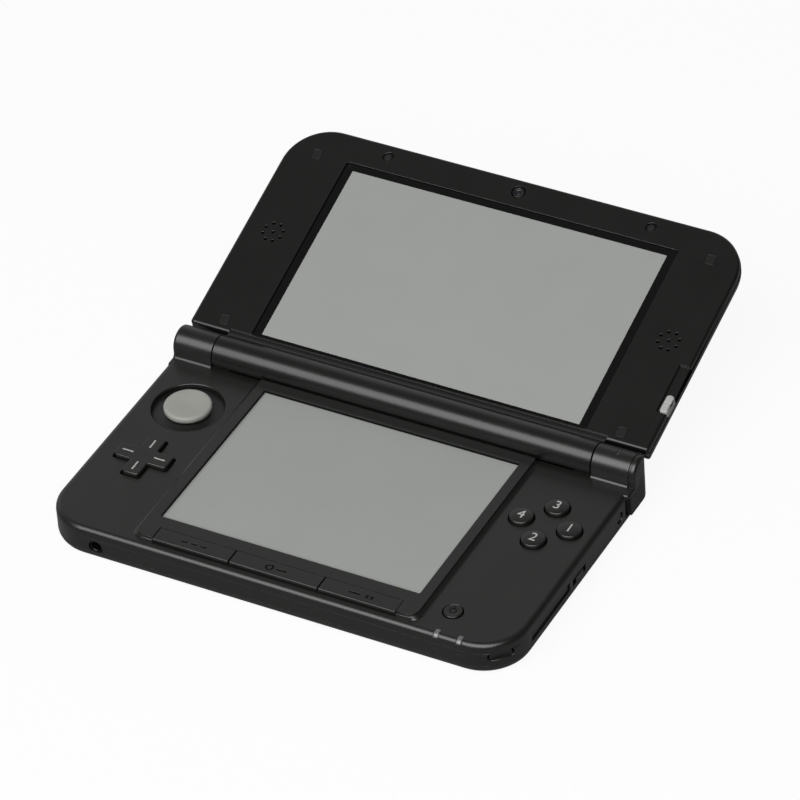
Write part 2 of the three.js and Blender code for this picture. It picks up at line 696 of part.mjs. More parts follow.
function topCase() {
  const outer = shellLoft(
    [[DECK_SEAM, DECK_INSET], ...edgeSteps(BASE_HEIGHT, DECK_INSET, DECK_EDGE, -1, 4).reverse()],
    baseRing,
  );
  const hollow = shellLoft([[DECK_SEAM - 1, WALL_INSET], [DECK_UNDERSIDE, WALL_INSET]], baseRing);
  const beam = block(
    -INNER_HALF - 0.5,
    INNER_HALF + 0.5,
    HINGE_Y - TROUGH_RADIUS - 1.4,
    REAR - DECK_INSET,
    DECK_SEAM,
    BASE_HEIGHT,
  );
  const corners = shellLoft([[DECK_SEAM, DECK_INSET], [BASE_HEIGHT, DECK_INSET]], baseRing);
  let shape = join(cut(outer, hollow), beam.intersect(corners));
  shape = cut(
    shape,
    rodX(HINGE_Y, HINGE_Z, TROUGH_RADIUS, -KNUCKLE_START, KNUCKLE_START, 40),
    block(-KNUCKLE_START, KNUCKLE_START, HINGE_Y, REAR + 1, TROUGH_FLOOR, HINGE_Z + TROUGH_RADIUS),
  );
  shape = join(shape, knuckle(-1), knuckle(1));
  shape = cut(shape, shoulderSpace(DECK_SEAM - 1, shoulderTop + FIT));
  const boreEnd = KNUCKLE_START + clutchReach;
  const holes = [
    rodX(HINGE_Y, HINGE_Z, CLUTCH_RADIUS + FIT, KNUCKLE_START - 1, boreEnd, 24),
    rodX(HINGE_Y, HINGE_Z, HINGE_PIN_RADIUS + FIT, -boreEnd, -KNUCKLE_START + 1, 24),
    block(
      -GLASS_HALF - FIT,
      GLASS_HALF + FIT,
      glassFront - FIT,
      glassBack + FIT,
      DECK_UNDERSIDE - 1,
      BASE_HEIGHT + 1,
    ),
    deckHole(padX, padY, PAD_WELL_RADIUS, 32),
    rodZ(padX, padY, PAD_WELL_RADIUS, BASE_HEIGHT - 0.7, BASE_HEIGHT + 0.3, 32, PAD_WELL_RADIUS + 1),
    crossShape(CROSS_SPAN + 0.9, CROSS_ARM + 0.9, DECK_UNDERSIDE - 1, BASE_HEIGHT + 1),
    deckHole(powerX, powerY, POWER_RADIUS + FIT),
    ...Object.values(facePlaces).map(([x, y]) => deckHole(x, y, FACE_BUTTON_RADIUS + FIT)),
    ...Object.values(keySpans).map((span) => keyStem(span, FIT, DECK_UNDERSIDE - 1, BASE_HEIGHT + 1)),
    ...Object.values(lightXs).map((x) => lightBar(x, 0.2, DECK_SEAM - 1, BASE_HEIGHT + 1)),
    noticeSlot(0.15, HINGE_Z, HINGE_Z + BARREL_RADIUS + 1),
    stylusHole,
  ];
  return cut(shape, ...holes);
}

mesh('bottom_cover', bottomCover(), blackPlastic(), base);
mesh('bottom_case', bottomCase(), blackPlastic(), base);
mesh('top_case', topCase(), blackPlastic(), base);

// Screen surround: a raised plateau round the touch screen, notched at the front for the row of keys
function screenSurround() {
  const plateau = (spread, drop) => roundedOutline(
    SURROUND_HALF + spread,
    SURROUND_FRONT,
    SURROUND_BACK,
    SURROUND_CORNER,
    0.6,
    6,
    2,
  ).map((p) => new THREE.Vector2(p.x, p.y - drop));
  const outer = loft([
    { z: BASE_HEIGHT, points: plateau(1.4, 0) },
    { z: BASE_HEIGHT + 0.3, points: plateau(0.75, 0) },
    { z: BASE_HEIGHT + 0.8, points: plateau(0.2, 0) },
    { z: SURROUND_TOP - 0.2, points: plateau(0, 0) },
    { z: SURROUND_TOP, points: plateau(-0.2, 0) },
  ]);
  return cut(
    outer,
    block(
      -LOWER_WINDOW_WIDTH / 2,
      LOWER_WINDOW_WIDTH / 2,
      WINDOW_FRONT,
      WINDOW_BACK,
      BASE_HEIGHT - 1,
      SURROUND_TOP + 1,
    ),
    block(
      -GLASS_HALF - FIT,
      GLASS_HALF + FIT,
      glassFront - FIT,
      glassBack + FIT,
      BASE_HEIGHT - 1,
      GLASS_TOP,
    ),
    block(
      -keyHalf - KEY_GAP / 2,
      keyHalf + KEY_GAP / 2,
      FRONT,
      KEY_ROW_BACK,
      BASE_HEIGHT - 1,
      SURROUND_TOP + 1,
    ),
  );
}
mesh('screen_surround', screenSurround(), blackPlastic(), base);
mesh(
  'touch_panel',
  block(-GLASS_HALF, GLASS_HALF, glassFront, glassBack, GLASS_BOTTOM, GLASS_TOP),
  screenGray(),
  base,
);
mesh(
  'lower_lcd',
  block(-GLASS_HALF + 0.7, GLASS_HALF - 0.7, glassFront + 0.7, glassBack - 0.7, LCD_BOTTOM, GLASS_BOTTOM),
  metalGray(),
  base,
);

// Main board: one plate under the deck, cut away round everything that passes its level
function mainBoard() {
  const boardEdge = WALL_INSET + 1.7;
  const plate = shellLoft([[BOARD_BOTTOM, boardEdge], [BOARD_TOP, boardEdge]], baseRing);
  const z0 = BOARD_BOTTOM - 1;
  const z1 = BOARD_TOP + 1;
  const tactSwitch = rodZ(powerX, powerY, 1.4, BOARD_TOP - 0.3, RUBBER_TOP, 12);
  return join(cut(
    plate,
    block(-HALF_WIDTH, HALF_WIDTH, shoulderFront - SHOULDER_SWING_GAP, REAR, z0, z1),
    block(HALF_WIDTH - STYLUS_LENGTH - 2, HALF_WIDTH, stylusY - STYLUS_RADIUS - 0.5, REAR, z0, z1),
    block(readerRoom.x0, readerRoom.x1, readerRoom.y0, REAR, z0, z1),
    block(jackX - jackBody.half - FIT, jackX + jackBody.half + FIT, FRONT, jackBody.back + FIT, z0, z1),
    block(memoryReader.x0 - FIT, HALF_WIDTH, memoryReader.y0 - FIT, memoryReader.y1 + FIT, z0, z1),
  ), tactSwitch);
}
mesh('main_board', mainBoard(), boardGreen(), base);

const batteryTop = BOARD_BOTTOM - 0.6;
mesh(
  'battery_pack',
  block(batteryBox.x0, batteryBox.x1, batteryBox.y0, batteryBox.y1, COVER_WALL, batteryTop),
  cellGray(),
  base,
);

// Slide pad: a guide plate on the board, a cross slider that runs left and right, and the cap that runs up
// and down
const padPost = PAD_WELL_RADIUS + 2.2;
const padSlotHalf = 4;
const padPeg = 1.5;
const guideTop = BOARD_TOP + 0.6;
const crossTop = guideTop + FIT + 0.5;
const skirtBottom = crossTop + FIT;
const skirtTop = skirtBottom + 0.45;
const padTop = BASE_HEIGHT + PAD_RISE;

function padGuide() {
  let shape = block(padX - padPost, padX + padPost, padY - padPost, padY + padPost, BOARD_TOP, guideTop);
  for (const sx of [-1, 1]) {
    for (const sy of [-1, 1]) {
      const px = padX + sx * (padPost - 1.1);
      const py = padY + sy * (padPost - 1.1);
      shape = join(shape, block(px - 1.1, px + 1.1, py - 1.1, py + 1.1, BOARD_TOP, DECK_UNDERSIDE));
    }
  }
  const run = padSlotHalf + PAD_TRAVEL + FIT;
  return cut(shape, block(padX - run, padX + run, padY - 1.5, padY + 1.5, BOARD_TOP - 1, guideTop + 1));
}
function padCross() {
  const run = padPeg + PAD_TRAVEL + FIT;
  const plate = cut(
    rodZ(0, 0, PAD_WELL_RADIUS - 0.1, guideTop + FIT, crossTop),
    block(-padPeg - FIT, padPeg + FIT, -run, run, 0, BASE_HEIGHT),
  );
  const foot = (x0, x1) => block(x0, x1, -1.2, 1.2, BOARD_TOP + FIT, guideTop + FIT + 0.2);
  return join(plate, foot(-padSlotHalf, -padPeg - FIT), foot(padPeg + FIT, padSlotHalf));
}
function padCap() {
  const stem = PAD_CAP_RADIUS - 2.6;
  const underCap = padTop - 1.3;
  const cap = turned([
    [0, skirtBottom], [
      PAD_WELL_RADIUS + 0.3, skirtBottom,
    ], [PAD_WELL_RADIUS + 0.3, skirtTop], [stem, skirtTop + 0.5],
    [stem, underCap], [PAD_CAP_RADIUS - 0.4, underCap], [PAD_CAP_RADIUS, underCap + 0.35],
    [PAD_CAP_RADIUS, padTop - 0.35], [PAD_CAP_RADIUS - 0.35, padTop], [PAD_CAP_RADIUS - 1.1, padTop],
    [PAD_CAP_RADIUS - 2.2, padTop - 0.35], [0, padTop - 0.5],
  ], 28);
  return join(cap, rodZ(0, 0, padPeg, guideTop + FIT, skirtBottom + 0.2, 16));
}
mesh('slide_pad_guide', padGuide(), softRubber(), base);
mesh('slide_pad_cross_slider', padCross(), blackPlastic(), base, [padX, padY, 0]);
mesh('slide_pad_cap', padCap(), lightPlastic(), base, [padX, padY, 0]);

// Direction cross on a rocker ball, over its rubber sheet
const crossFlangeTop = DECK_UNDERSIDE - 0.7;
const crossFlangeBottom = crossFlangeTop - 0.5;
const crossTopZ = BASE_HEIGHT + CROSS_RISE;
function directionCross() {
  const edge = 0.35;
  const flange = rodZ(crossX, crossY, CROSS_SPAN / 2 + 1, crossFlangeBottom, crossFlangeTop);
  const lower = crossShape(CROSS_SPAN, CROSS_ARM, crossFlangeTop - 0.1, crossTopZ - edge);
  const upper = crossShape(CROSS_SPAN - 2 * edge, CROSS_ARM - 2 * edge, crossFlangeTop, crossTopZ);
  const socket = rodZ(crossX, crossY, 1.6, crossFlangeBottom - 1, DECK_UNDERSIDE + 0.2, 16);
  return cut(join(flange, lower, upper), socket);
}
mesh('dpad_membrane', rodZ(crossX, crossY, CROSS_SPAN / 2, BOARD_TOP, RUBBER_TOP), softRubber(), base);
mesh(
  'dpad_pivot',
  rodZ(crossX, crossY, 1.2, RUBBER_TOP + 0.1, DECK_UNDERSIDE - 0.3, 16),
  metalGray(),
  base,
);
mesh('dpad', directionCross(), blackPlastic(), base);

// Four face buttons over one rubber sheet
function faceButton() {
  const top = BASE_HEIGHT + FACE_BUTTON_RISE;
  const flange = FACE_BUTTON_RADIUS + 0.6;
  return turned([
    [0, RUBBER_TOP + FACE_BUTTON_TRAVEL + 0.1], [flange, RUBBER_TOP + FACE_BUTTON_TRAVEL + 0.1],
    [flange, DECK_UNDERSIDE - FIT], [FACE_BUTTON_RADIUS, DECK_UNDERSIDE - FIT],
    [FACE_BUTTON_RADIUS, top - 0.45], [
      FACE_BUTTON_RADIUS - 0.15, top - 0.2,
    ], [FACE_BUTTON_RADIUS - 0.5, top],
    [FACE_BUTTON_RADIUS / 2, top + 0.15], [0, top + 0.2],
  ], 22);
}
const faceSheet = FACE_BUTTON_PITCH + FACE_BUTTON_RADIUS - 1;
mesh('face_button_membrane', rodZ(faceX, faceY, faceSheet, BOARD_TOP, RUBBER_TOP), softRubber(), base);
for (const [name, [x, y]] of Object.entries(facePlaces)) {
  mesh(name, faceButton(), blackPlastic(), base, [x, y, 0]);
}

// Select, home and start: three long keys with stems that reach the rubber strip on the board
const keyBottom = BASE_HEIGHT + KEY_TRAVEL + 0.1;
const keyTop = SURROUND_TOP - 0.1;
function longKey(x0, x1) {
  const y0 = SURROUND_FRONT + 0.1;
  const y1 = KEY_ROW_BACK - 0.25;
  return join(
    block(x0, x1, y0, y1, keyBottom, keyTop - 0.25),
    block(x0 + 0.15, x1 - 0.15, y0 + 0.25, y1 - 0.1, keyBottom, keyTop),
    keyStem([x0, x1], 0, RUBBER_TOP + KEY_TRAVEL + 0.1, keyBottom + 0.2),
  );
}
for (const [name, [x0, x1]] of Object.entries(keySpans)) {
  mesh(name, longKey(x0, x1), blackPlastic(), base);
}
const stripHalf = KEY_STEM_WIDTH / 2 + 0.6;
mesh(
  'front_key_membrane',
  block(2 - keyHalf, keyHalf - 2, keyStemY - stripHalf, keyStemY + stripHalf, BOARD_TOP, RUBBER_TOP),
  softRubber(),
  base,
);

// Power button
const powerFlange = POWER_RADIUS + 0.7;
const powerShape = turned([
  [0, RUBBER_TOP + KEY_TRAVEL + 0.1], [1.5, RUBBER_TOP + KEY_TRAVEL + 0.1], [1.5, DECK_UNDERSIDE - 1],
  [powerFlange, DECK_UNDERSIDE - 1], [
    powerFlange, DECK_UNDERSIDE - FIT,
  ], [POWER_RADIUS, DECK_UNDERSIDE - FIT],
  [POWER_RADIUS, BASE_HEIGHT - 0.05], [POWER_RADIUS - 0.2, BASE_HEIGHT + 0.15], [0, BASE_HEIGHT + 0.15],
], 20);
mesh('power_button', powerShape, blackPlastic(), base, [powerX, powerY, 0]);

// Shoulder buttons: a curved wall at each rear corner that swings about a pin at its inner end
function shoulderButton(side) {
  const band = cut(
    shellLoft([[shoulderBottom, 0.1], [shoulderTop, 0.1]], baseRing),
    shellLoft([[0, SHOULDER_WALL + 0.1], [BASE_HEIGHT, SHOULDER_WALL + 0.1]], baseRing),
  );
  const x0 = side > 0 ? shoulderStart : -HALF_WIDTH - 1;
  const x1 = side > 0 ? HALF_WIDTH + 1 : -shoulderStart;
  const wall = band.intersect(block(x0, x1, shoulderFront, REAR + 1, 0, BASE_HEIGHT));
  const underBarrel = block(
    -KNUCKLE_START - FIT,
    KNUCKLE_START + FIT,
    0,
    REAR + 1,
    TROUGH_FLOOR,
    BASE_HEIGHT + 1,
  );
  return cut(wall, underBarrel);
}
mesh('left_shoulder_button', shoulderButton(-1), glossBlack(), base);
mesh('right_shoulder_button', shoulderButton(1), glossBlack(), base);

// Volume slider on the left wall and wireless switch on the right wall: a knob with a plate behind the wall
function sideKnob(side, y, z) {
  const outer = HALF_WIDTH - CASE_INSET + 0.6;
  const plate = knobHalf + 2.1;
  const halfThick = SLIDER_THICKNESS / 2;
  const slotHalf = SLIDER_SLOT / 2 + 0.05;
  const spans = (a, b) => (side > 0 ? [a, b] : [-b, -a]);
  return join(
    block(
      ...spans(INNER_HALF - FIT - 0.2, outer),
      y - knobHalf,
      y + knobHalf,
      z - halfThick,
      z + halfThick,
    ),
    block(
      ...spans(INNER_HALF - FIT - 0.8, INNER_HALF - FIT),
      y - plate,
      y + plate,
      z - slotHalf,
      z + slotHalf,
    ),
  );
}
mesh('volume_slider', sideKnob(-1, volumeY, volumeZ), blackPlastic(), base);
mesh('wireless_switch', sideKnob(1, wirelessY, wirelessZ), blackPlastic(), base);

// Stylus: lies in the right side behind the wall, tip inwards
const stylusEnd = HALF_WIDTH - CASE_INSET;
const stylusShape = turned([
  [0, 0], [0.5, 0.25], [1.1, 4.5], [STYLUS_RADIUS, 8], [STYLUS_RADIUS, STYLUS_LENGTH - 0.3],
  [STYLUS_RADIUS - 0.3, STYLUS_LENGTH], [0, STYLUS_LENGTH],
], 20);
const stylus = stylusShape.rotate([0, 90, 0]);
mesh('stylus', stylus, blackPlastic(), base, [stylusEnd - STYLUS_LENGTH, stylusY, stylusZ]);

// Memory card reader and its door, hinged at its front end
const doorThickness = 1.2;
const doorOuter = HALF_WIDTH - CASE_INSET - 0.1;
const doorPivotX = doorOuter - doorThickness / 2;
const doorPivotY = memoryFront + FIT + doorThickness / 2;
function memoryDoor() {
  const z0 = FLOOR_TOP + FIT;
  const z1 = memoryReader.top - 0.1;
  return join(
    block(doorOuter - doorThickness, doorOuter, doorPivotY, memoryBack - FIT, z0, z1),
    rodZ(doorPivotX, doorPivotY, doorThickness / 2, z0, z1, 16),
  );
}
function memoryCardReader() {
  const { x0, x1, y0, y1, bottom, top } = memoryReader;
  return cut(
    block(x0, x1, y0, y1, bottom, top),
    block(x0 + 0.8, x1 + 1, y0 + 0.8, y1 - 0.8, bottom + 0.4, top - 0.4),
  );
}
mesh('sd_card_door', memoryDoor(), blackPlastic(), base);
mesh('sd_card_reader', memoryCardReader(), metalGray(), base);

// Game card reader, open at the rear
function gameCardReader() {
  const front = REAR - CARD_SLOT_DEPTH - CARD_READER_END;
  const back = REAR - WALL_INSET - FIT;
  const x0 = CARD_SLOT_X - cardHalf;
  const x1 = CARD_SLOT_X + cardHalf;
  return cut(
    block(x0 - 0.8, x1 + 0.8, front, back, readerBottom, readerTop),
    block(x0, x1, front + 0.8, back + 1, readerBottom + CARD_READER_FLOOR, readerTop - CARD_READER_WALL),
  );
}
mesh('game_card_reader', gameCardReader(), metalGray(), base);

// Headphone jack, charging socket and infrared window
function headphoneJack() {
  const { half, front, back, bottom, top } = jackBody;
  const body = join(
    block(jackX - half, jackX + half, front, back, bottom, top),
    rodY(jackX, JACK_HEIGHT, JACK_RADIUS, FRONT + CASE_INSET + 0.1, front + 0.5, 24),
  );
  return cut(body, rodY(jackX, JACK_HEIGHT, JACK_BORE, FRONT, back - 1, 20));
}
function chargeSocket() {
  const half = PORT_WIDTH / 2;
  const mouth = REAR - CASE_INSET - 0.1;
  const front = mouth - SOCKET_DEPTH;
  const shell = cut(
    block(PORT_X - half - SOCKET_SHELL, PORT_X + half + SOCKET_SHELL, front, mouth, FLOOR_TOP, socketTop),
    block(PORT_X - half, PORT_X + half, front + 1.5, REAR + 1, FLOOR_TOP + 0.5, socketTop - 0.5),
  );
  const tongue = block(PORT_X - 2.6, PORT_X + 2.6, front + 1, mouth - 2, FLOOR_TOP + 1.3, FLOOR_TOP + 2);
  return join(shell, tongue);
}
mesh('headphone_jack', headphoneJack(), glossBlack(), base);
mesh('charge_socket', chargeSocket(), metalGray(), base);
mesh(
  'ir_window',
  block(
    IR_X - IR_WIDTH / 2,
    IR_X + IR_WIDTH / 2,
    REAR - WALL_INSET,
    REAR - CASE_INSET - 0.1,
    FLOOR_TOP,
    FLOOR_TOP + IR_HEIGHT,
  ),
  glossBlack(),
  base,
);

// Light guides: two in the front edge of the deck, one on the right knuckle and one in the right wall
for (const [name, x] of Object.entries(lightXs)) {
  mesh(name, lightBar(x, 0, DECK_SEAM + FIT, BASE_HEIGHT - 0.3), clearPlastic(), base);
}
mesh(
  'notification_light_guide',
  noticeSlot(0, HINGE_Z + CLUTCH_RADIUS + FIT, HINGE_Z + BARREL_RADIUS - 0.1),
  clearPlastic(),
  base,
);
mesh(
  'wireless_light_guide',
  rodX(
    wirelessLight.y,
    wirelessLight.z,
    wirelessLight.radius,
    INNER_HALF - 1,
    HALF_WIDTH - CASE_INSET - 0.05,
    12,
  ),
  clearPlastic(),
  base,
);

// Hinge: a plain pin at the left and a friction clutch at the right, both held in the knuckles
const pinReach = 7;
mesh(
  'left_hinge_pin',
  rodX(
    HINGE_Y,
    HINGE_Z,
    HINGE_PIN_RADIUS,
    -KNUCKLE_START - clutchReach + FIT,
    -BARREL_HALF + pinReach,
    24,
  ),
  metalGray(),
  base,
);
const clutch = join(
  rodX(HINGE_Y, HINGE_Z, CLUTCH_RADIUS, KNUCKLE_START, KNUCKLE_START + clutchReach - FIT, 24),
  rodX(HINGE_Y, HINGE_Z, HINGE_PIN_RADIUS, BARREL_HALF - pinReach, KNUCKLE_START + 1, 24),
);
mesh('right_hinge_clutch', clutch, metalGray(), base);

// Captive screws of the bottom cover
const coverScrew = cut(
  turned([
    [0, 0.15], [SCREW_HEAD, 0.15], [SCREW_HEAD, COVER_WALL - 0.1], [SCREW_SHANK, COVER_WALL - 0.1],
    [SCREW_SHANK, FLOOR_TOP - 0.3], [0, FLOOR_TOP - 0.3],
  ], 20),
  block(-1.3, 1.3, -0.25, 0.25, -1, 0.65),
  block(-0.25, 0.25, -1.3, 1.3, -1, 0.65),
);
for (const [name, side] of Object.entries(sides)) {
  mesh(`${name}_cover_screw`, coverScrew, metalGray(), base, [side * coverScrewX, coverScrewY, 0]);
}

// The lid lies in its own frame: X along the hinge, Y up the lid from the hinge line, Z out of its inner
// face
const lidRing = (inset) => roundedOutline(
  HALF_WIDTH - inset,
  LID_FOOT + inset,
  LID_TOP - inset,
  Math.max(2.2 - inset, 0.5),
  LID_CORNER - inset,
  4,
  9,
);
const lensHalf = UPPER_WINDOW_HALF + LENS_RIM;
const lensFoot = UPPER_WINDOW_SETBACK - 1.1;
const lensHead = UPPER_WINDOW_HEAD + LENS_RIM - 0.5;
const lensTop = LID_FACE - LENS_DROP;
const lensBottom = lensTop - LENS_THICKNESS;
const lcdHalf = UPPER_WINDOW_HALF + 0.9;
const lcdFoot = UPPER_WINDOW_SETBACK - 0.25;
const lcdHead = UPPER_WINDOW_HEAD + 0.7;
const speakerX = HALF_WIDTH - SPEAKER_FROM_SIDE;
const coverX = HALF_WIDTH - SCREW_COVER_FROM_SIDE;
const screwCoverPlaces = {
  top_left_screw_cover: [-coverX, LID_TOP - 10.55],
  top_right_screw_cover: [coverX, LID_TOP - 10.55],
  bottom_left_screw_cover: [-coverX, LID_FOOT + 3.85],
  bottom_right_screw_cover: [coverX, LID_FOOT + 3.85],
};
const depthChannel = HALF_WIDTH - 3.6;
const depthSideFace = HALF_WIDTH - LID_INSET - 0.6;
const depthChannelFloor = LID_FACE - 0.7;

// The barrel with the concave web that leads from it up to the lid's inner face
function barrelProfile() {
  const webRadius = 3.5;
  const faceHeight = lensTop + 0.05;
  const reach = BARREL_RADIUS + webRadius;
  const webY = Math.sqrt(reach ** 2 - (faceHeight + webRadius) ** 2);
  const webZ = faceHeight + webRadius;
  const meet = Math.atan2(webZ, webY);
  const pairs = [[webY + 2, LID_SEAM], [webY + 2, faceHeight]];
  const webStart = -Math.PI / 2;
  const webEnd = meet - Math.PI;
  for (let i = 0; i <= 6; i += 1) {
    const angle = webStart + (webEnd - webStart) * (i / 6);
    pairs.push([webY + webRadius * Math.cos(angle), webZ + webRadius * Math.sin(angle)]);
  }
  const seam = Math.asin(LID_SEAM / BARREL_RADIUS);
  const sweep = 2 * Math.PI + seam - meet;
  for (let i = 1; i <= 30; i += 1) {
    const angle = meet + sweep * (i / 30);
    pairs.push([BARREL_RADIUS * Math.cos(angle), BARREL_RADIUS * Math.sin(angle)]);
  }
  return pairs;
}

function speakerHoles(x) {
  const spots = Array.from({ length: 8 }, (_, i) => {
    const angle = (Math.PI * i) / 4;
    return [x + SPEAKER_RING * Math.cos(angle), SPEAKER_UP + SPEAKER_RING * Math.sin(angle)];
  });
  return [[x, SPEAKER_UP], ...spots].map(
    ([hx, hy]) => rodZ(hx, hy, SPEAKER_HOLE, LID_SEAM - 1, LID_FACE + 1, 8),
  );
}

function frontBezel() {
  const outer = shellLoft(
    [[LID_SEAM, LID_INSET], ...edgeSteps(LID_FACE, LID_INSET, LID_FRONT_EDGE, -1, 3).reverse()],
    lidRing,
  );
  const hollow = cut(
    shellLoft(
      [[LID_SEAM - 1, LID_INSET + LID_WALL], [LID_FACE - BEZEL_SKIN, LID_INSET + LID_WALL]],
      lidRing,
    ),
    block(-lensHalf - 1.8, lensHalf + 1.8, 0, lensHead + 1.8, LID_SEAM - 2, LID_FACE),
  );
  const plate = cut(
    outer,
    hollow,
    ...speakerHoles(speakerX),
    ...speakerHoles(-speakerX),
    rodZ(0, CAMERA_LINE, INNER_CAMERA_RADIUS + 0.35, LID_SEAM - 1, LID_FACE + 1),
    rodZ(-BUMPER_X, CAMERA_LINE, BUMPER_RADIUS + 0.2, LID_FACE - 0.8, LID_FACE + 1, 20),
    rodZ(BUMPER_X, CAMERA_LINE, BUMPER_RADIUS + 0.2, LID_FACE - 0.8, LID_FACE + 1, 20),
    ...Object.values(screwCoverPlaces).map(([x, y]) => {
      const half = SCREW_COVER_SIZE / 2 + 0.2;
      return block(x - half, x + half, y - half, y + half, LID_FACE - 0.8, LID_FACE + 1);
    }),
    block(
      depthChannel,
      HALF_WIDTH + 1,
      DEPTH_SLIDER_UP - FIT,
      DEPTH_SLIDER_UP + DEPTH_KNOB_LENGTH + DEPTH_SLIDER_TRAVEL + FIT,
      depthChannelFloor,
      LID_FACE + 1,
    ),
    block(
      depthSideFace,
      HALF_WIDTH + 1,
      DEPTH_SLIDER_UP - FIT,
      DEPTH_SLIDER_UP + DEPTH_KNOB_LENGTH + DEPTH_SLIDER_TRAVEL + FIT,
      LID_FACE - 2.1,
      LID_FACE + 1,
    ),
  );
  const foot = block(-BARREL_HALF, BARREL_HALF, 0, LID_FOOT + LID_INSET + 1, LID_SEAM, LID_FACE + 1);
  const barrel = stretched(barrelProfile(), -BARREL_HALF, BARREL_HALF);
  const bore = rodX(0, 0, BARREL_RADIUS - BARREL_WALL, -BARREL_HALF - 1, BARREL_HALF + 1, 32);
  return cut(
    join(cut(plate, foot), barrel),
    bore,
    block(
      -lensHalf - 0.2,
      lensHalf + 0.2,
      lensFoot - 0.2,
      lensHead + 0.2,
      lensBottom - FIT,
      LID_FACE + 1,
    ),
    block(-lcdHalf - FIT, lcdHalf + FIT, lcdFoot - FIT, lcdHead + FIT, LID_SEAM - 1, LID_FACE + 1),
  );
}

// Rear cover: a tray over the back of the lid, with a lip that hugs the barrel
function rearCover() {
  const outer = shellLoft([...edgeSteps(LID_BACK, 0, LID_BACK_EDGE, 1, 5), [LID_SEAM, 0]], lidRing);
  const hollow = shellLoft(
    [
      [LID_BACK + LID_WALL, LID_BACK_EDGE - 0.2], [LID_BACK + 2.6, LID_WALL + 0.5],
      [LID_SEAM + 1, LID_WALL],
    ],
    lidRing,
  );
  const lipPairs = [
    [10, LID_SEAM], [10, LID_BACK], [7.2, LID_BACK + 0.05], [5.2, LID_BACK + 0.75],
    [3.2, LID_BACK + 1.85], [1.4, LID_BACK + 2.6],
  ];
  const hug = BARREL_RADIUS + FIT;
  const from = Math.atan2(-Math.sqrt(hug ** 2 - 1.96), 1.4);
  const to = Math.asin(LID_SEAM / hug);
  for (let i = 0; i <= 8; i += 1) {
    const angle = from + (to - from) * (i / 8);
    lipPairs.push([hug * Math.cos(angle), hug * Math.sin(angle)]);
  }
  const lip = stretched(lipPairs, -BARREL_HALF, BARREL_HALF);
  const behindLip = block(
    -BARREL_HALF + LID_WALL,
    BARREL_HALF - LID_WALL,
    LID_FOOT,
    LID_FOOT + 5,
    LID_BACK + LID_WALL,
    LID_SEAM + 1,
  );
  const shell = cut(outer, block(-BARREL_HALF, BARREL_HALF, 0, LID_FOOT + 3, LID_BACK - 1, LID_SEAM + 1));
  return cut(
    join(shell, lip),
    hollow,
    behindLip,
    rodZ(-OUTER_CAMERA_X, CAMERA_LINE - 3.2, OUTER_CAMERA_RADIUS + FIT, LID_BACK - 1, LID_SEAM),
    rodZ(OUTER_CAMERA_X, CAMERA_LINE - 3.2, OUTER_CAMERA_RADIUS + FIT, LID_BACK - 1, LID_SEAM),
  );
}
mesh('lid_front_bezel', frontBezel(), darkBezel(), lid);
mesh('lid_rear_cover', rearCover(), blackPlastic(), lid);

mesh(
  'upper_screen_lens',
  block(-lensHalf, lensHalf, lensFoot, lensHead, lensBottom, lensTop),
  glossBlack(),
  lid,
);
mesh(
  'upper_lcd',
  block(-lcdHalf, lcdHalf, lcdFoot, lcdHead, lensBottom - FIT - 2, lensBottom - FIT),
  screenGray(),
  lid,
);

// Speakers, cameras, rubber plugs and bumpers
for (const [name, side] of Object.entries(sides)) {
  const top = LID_FACE - BEZEL_SKIN - FIT;
  mesh(
    `${name}_speaker`,
    rodZ(0, 0, SPEAKER_RADIUS, top - 2.6, top, 24),
    metalGray(),
    lid,
    [side * speakerX, SPEAKER_UP, 0],
  );
}
const innerCamera = turned([
  [0, LID_SEAM - 1.5], [INNER_CAMERA_RADIUS, LID_SEAM - 1.5], [INNER_CAMERA_RADIUS, LID_FACE - 0.15],
  [INNER_CAMERA_RADIUS - 0.6, LID_FACE - 0.15], [0.7, LID_FACE - 0.6], [0, LID_FACE - 0.6],
], 24);
mesh('inner_camera', innerCamera, glossBlack(), lid, [0, CAMERA_LINE, 0]);
const outerCamera = turned([
  [0, LID_BACK + 3], [OUTER_CAMERA_RADIUS, LID_BACK + 3], [OUTER_CAMERA_RADIUS, LID_BACK - 0.15],
  [
    OUTER_CAMERA_RADIUS - 0.5, LID_BACK - 0.3,
  ], [OUTER_CAMERA_RADIUS - 1.1, LID_BACK + 0.1], [0, LID_BACK + 0.1],
], 24);
for (const [name, side] of Object.entries(sides)) {
  mesh(
    `${name}_outer_camera`,
    outerCamera,
    glossBlack(),
    lid,
    [side * OUTER_CAMERA_X, CAMERA_LINE - 3.2, 0],
  );
}
for (const [name, [x, y]] of Object.entries(screwCoverPlaces)) {
  const half = SCREW_COVER_SIZE / 2;
  mesh(
    name,
    block(-half, half, -half, half, LID_FACE - 0.5, LID_FACE - 0.02),
    softRubber(),
    lid,
    [x, y, 0],
  );
}
for (const [name, side] of Object.entries(sides)) {
  const bumper = rodZ(0, 0, BUMPER_RADIUS, LID_FACE - 0.5, LID_FACE + LID_REST_GAP * 0.6, 20);
  mesh(`${name}_bumper`, bumper, softRubber(), lid, [side * BUMPER_X, CAMERA_LINE, 0]);
}

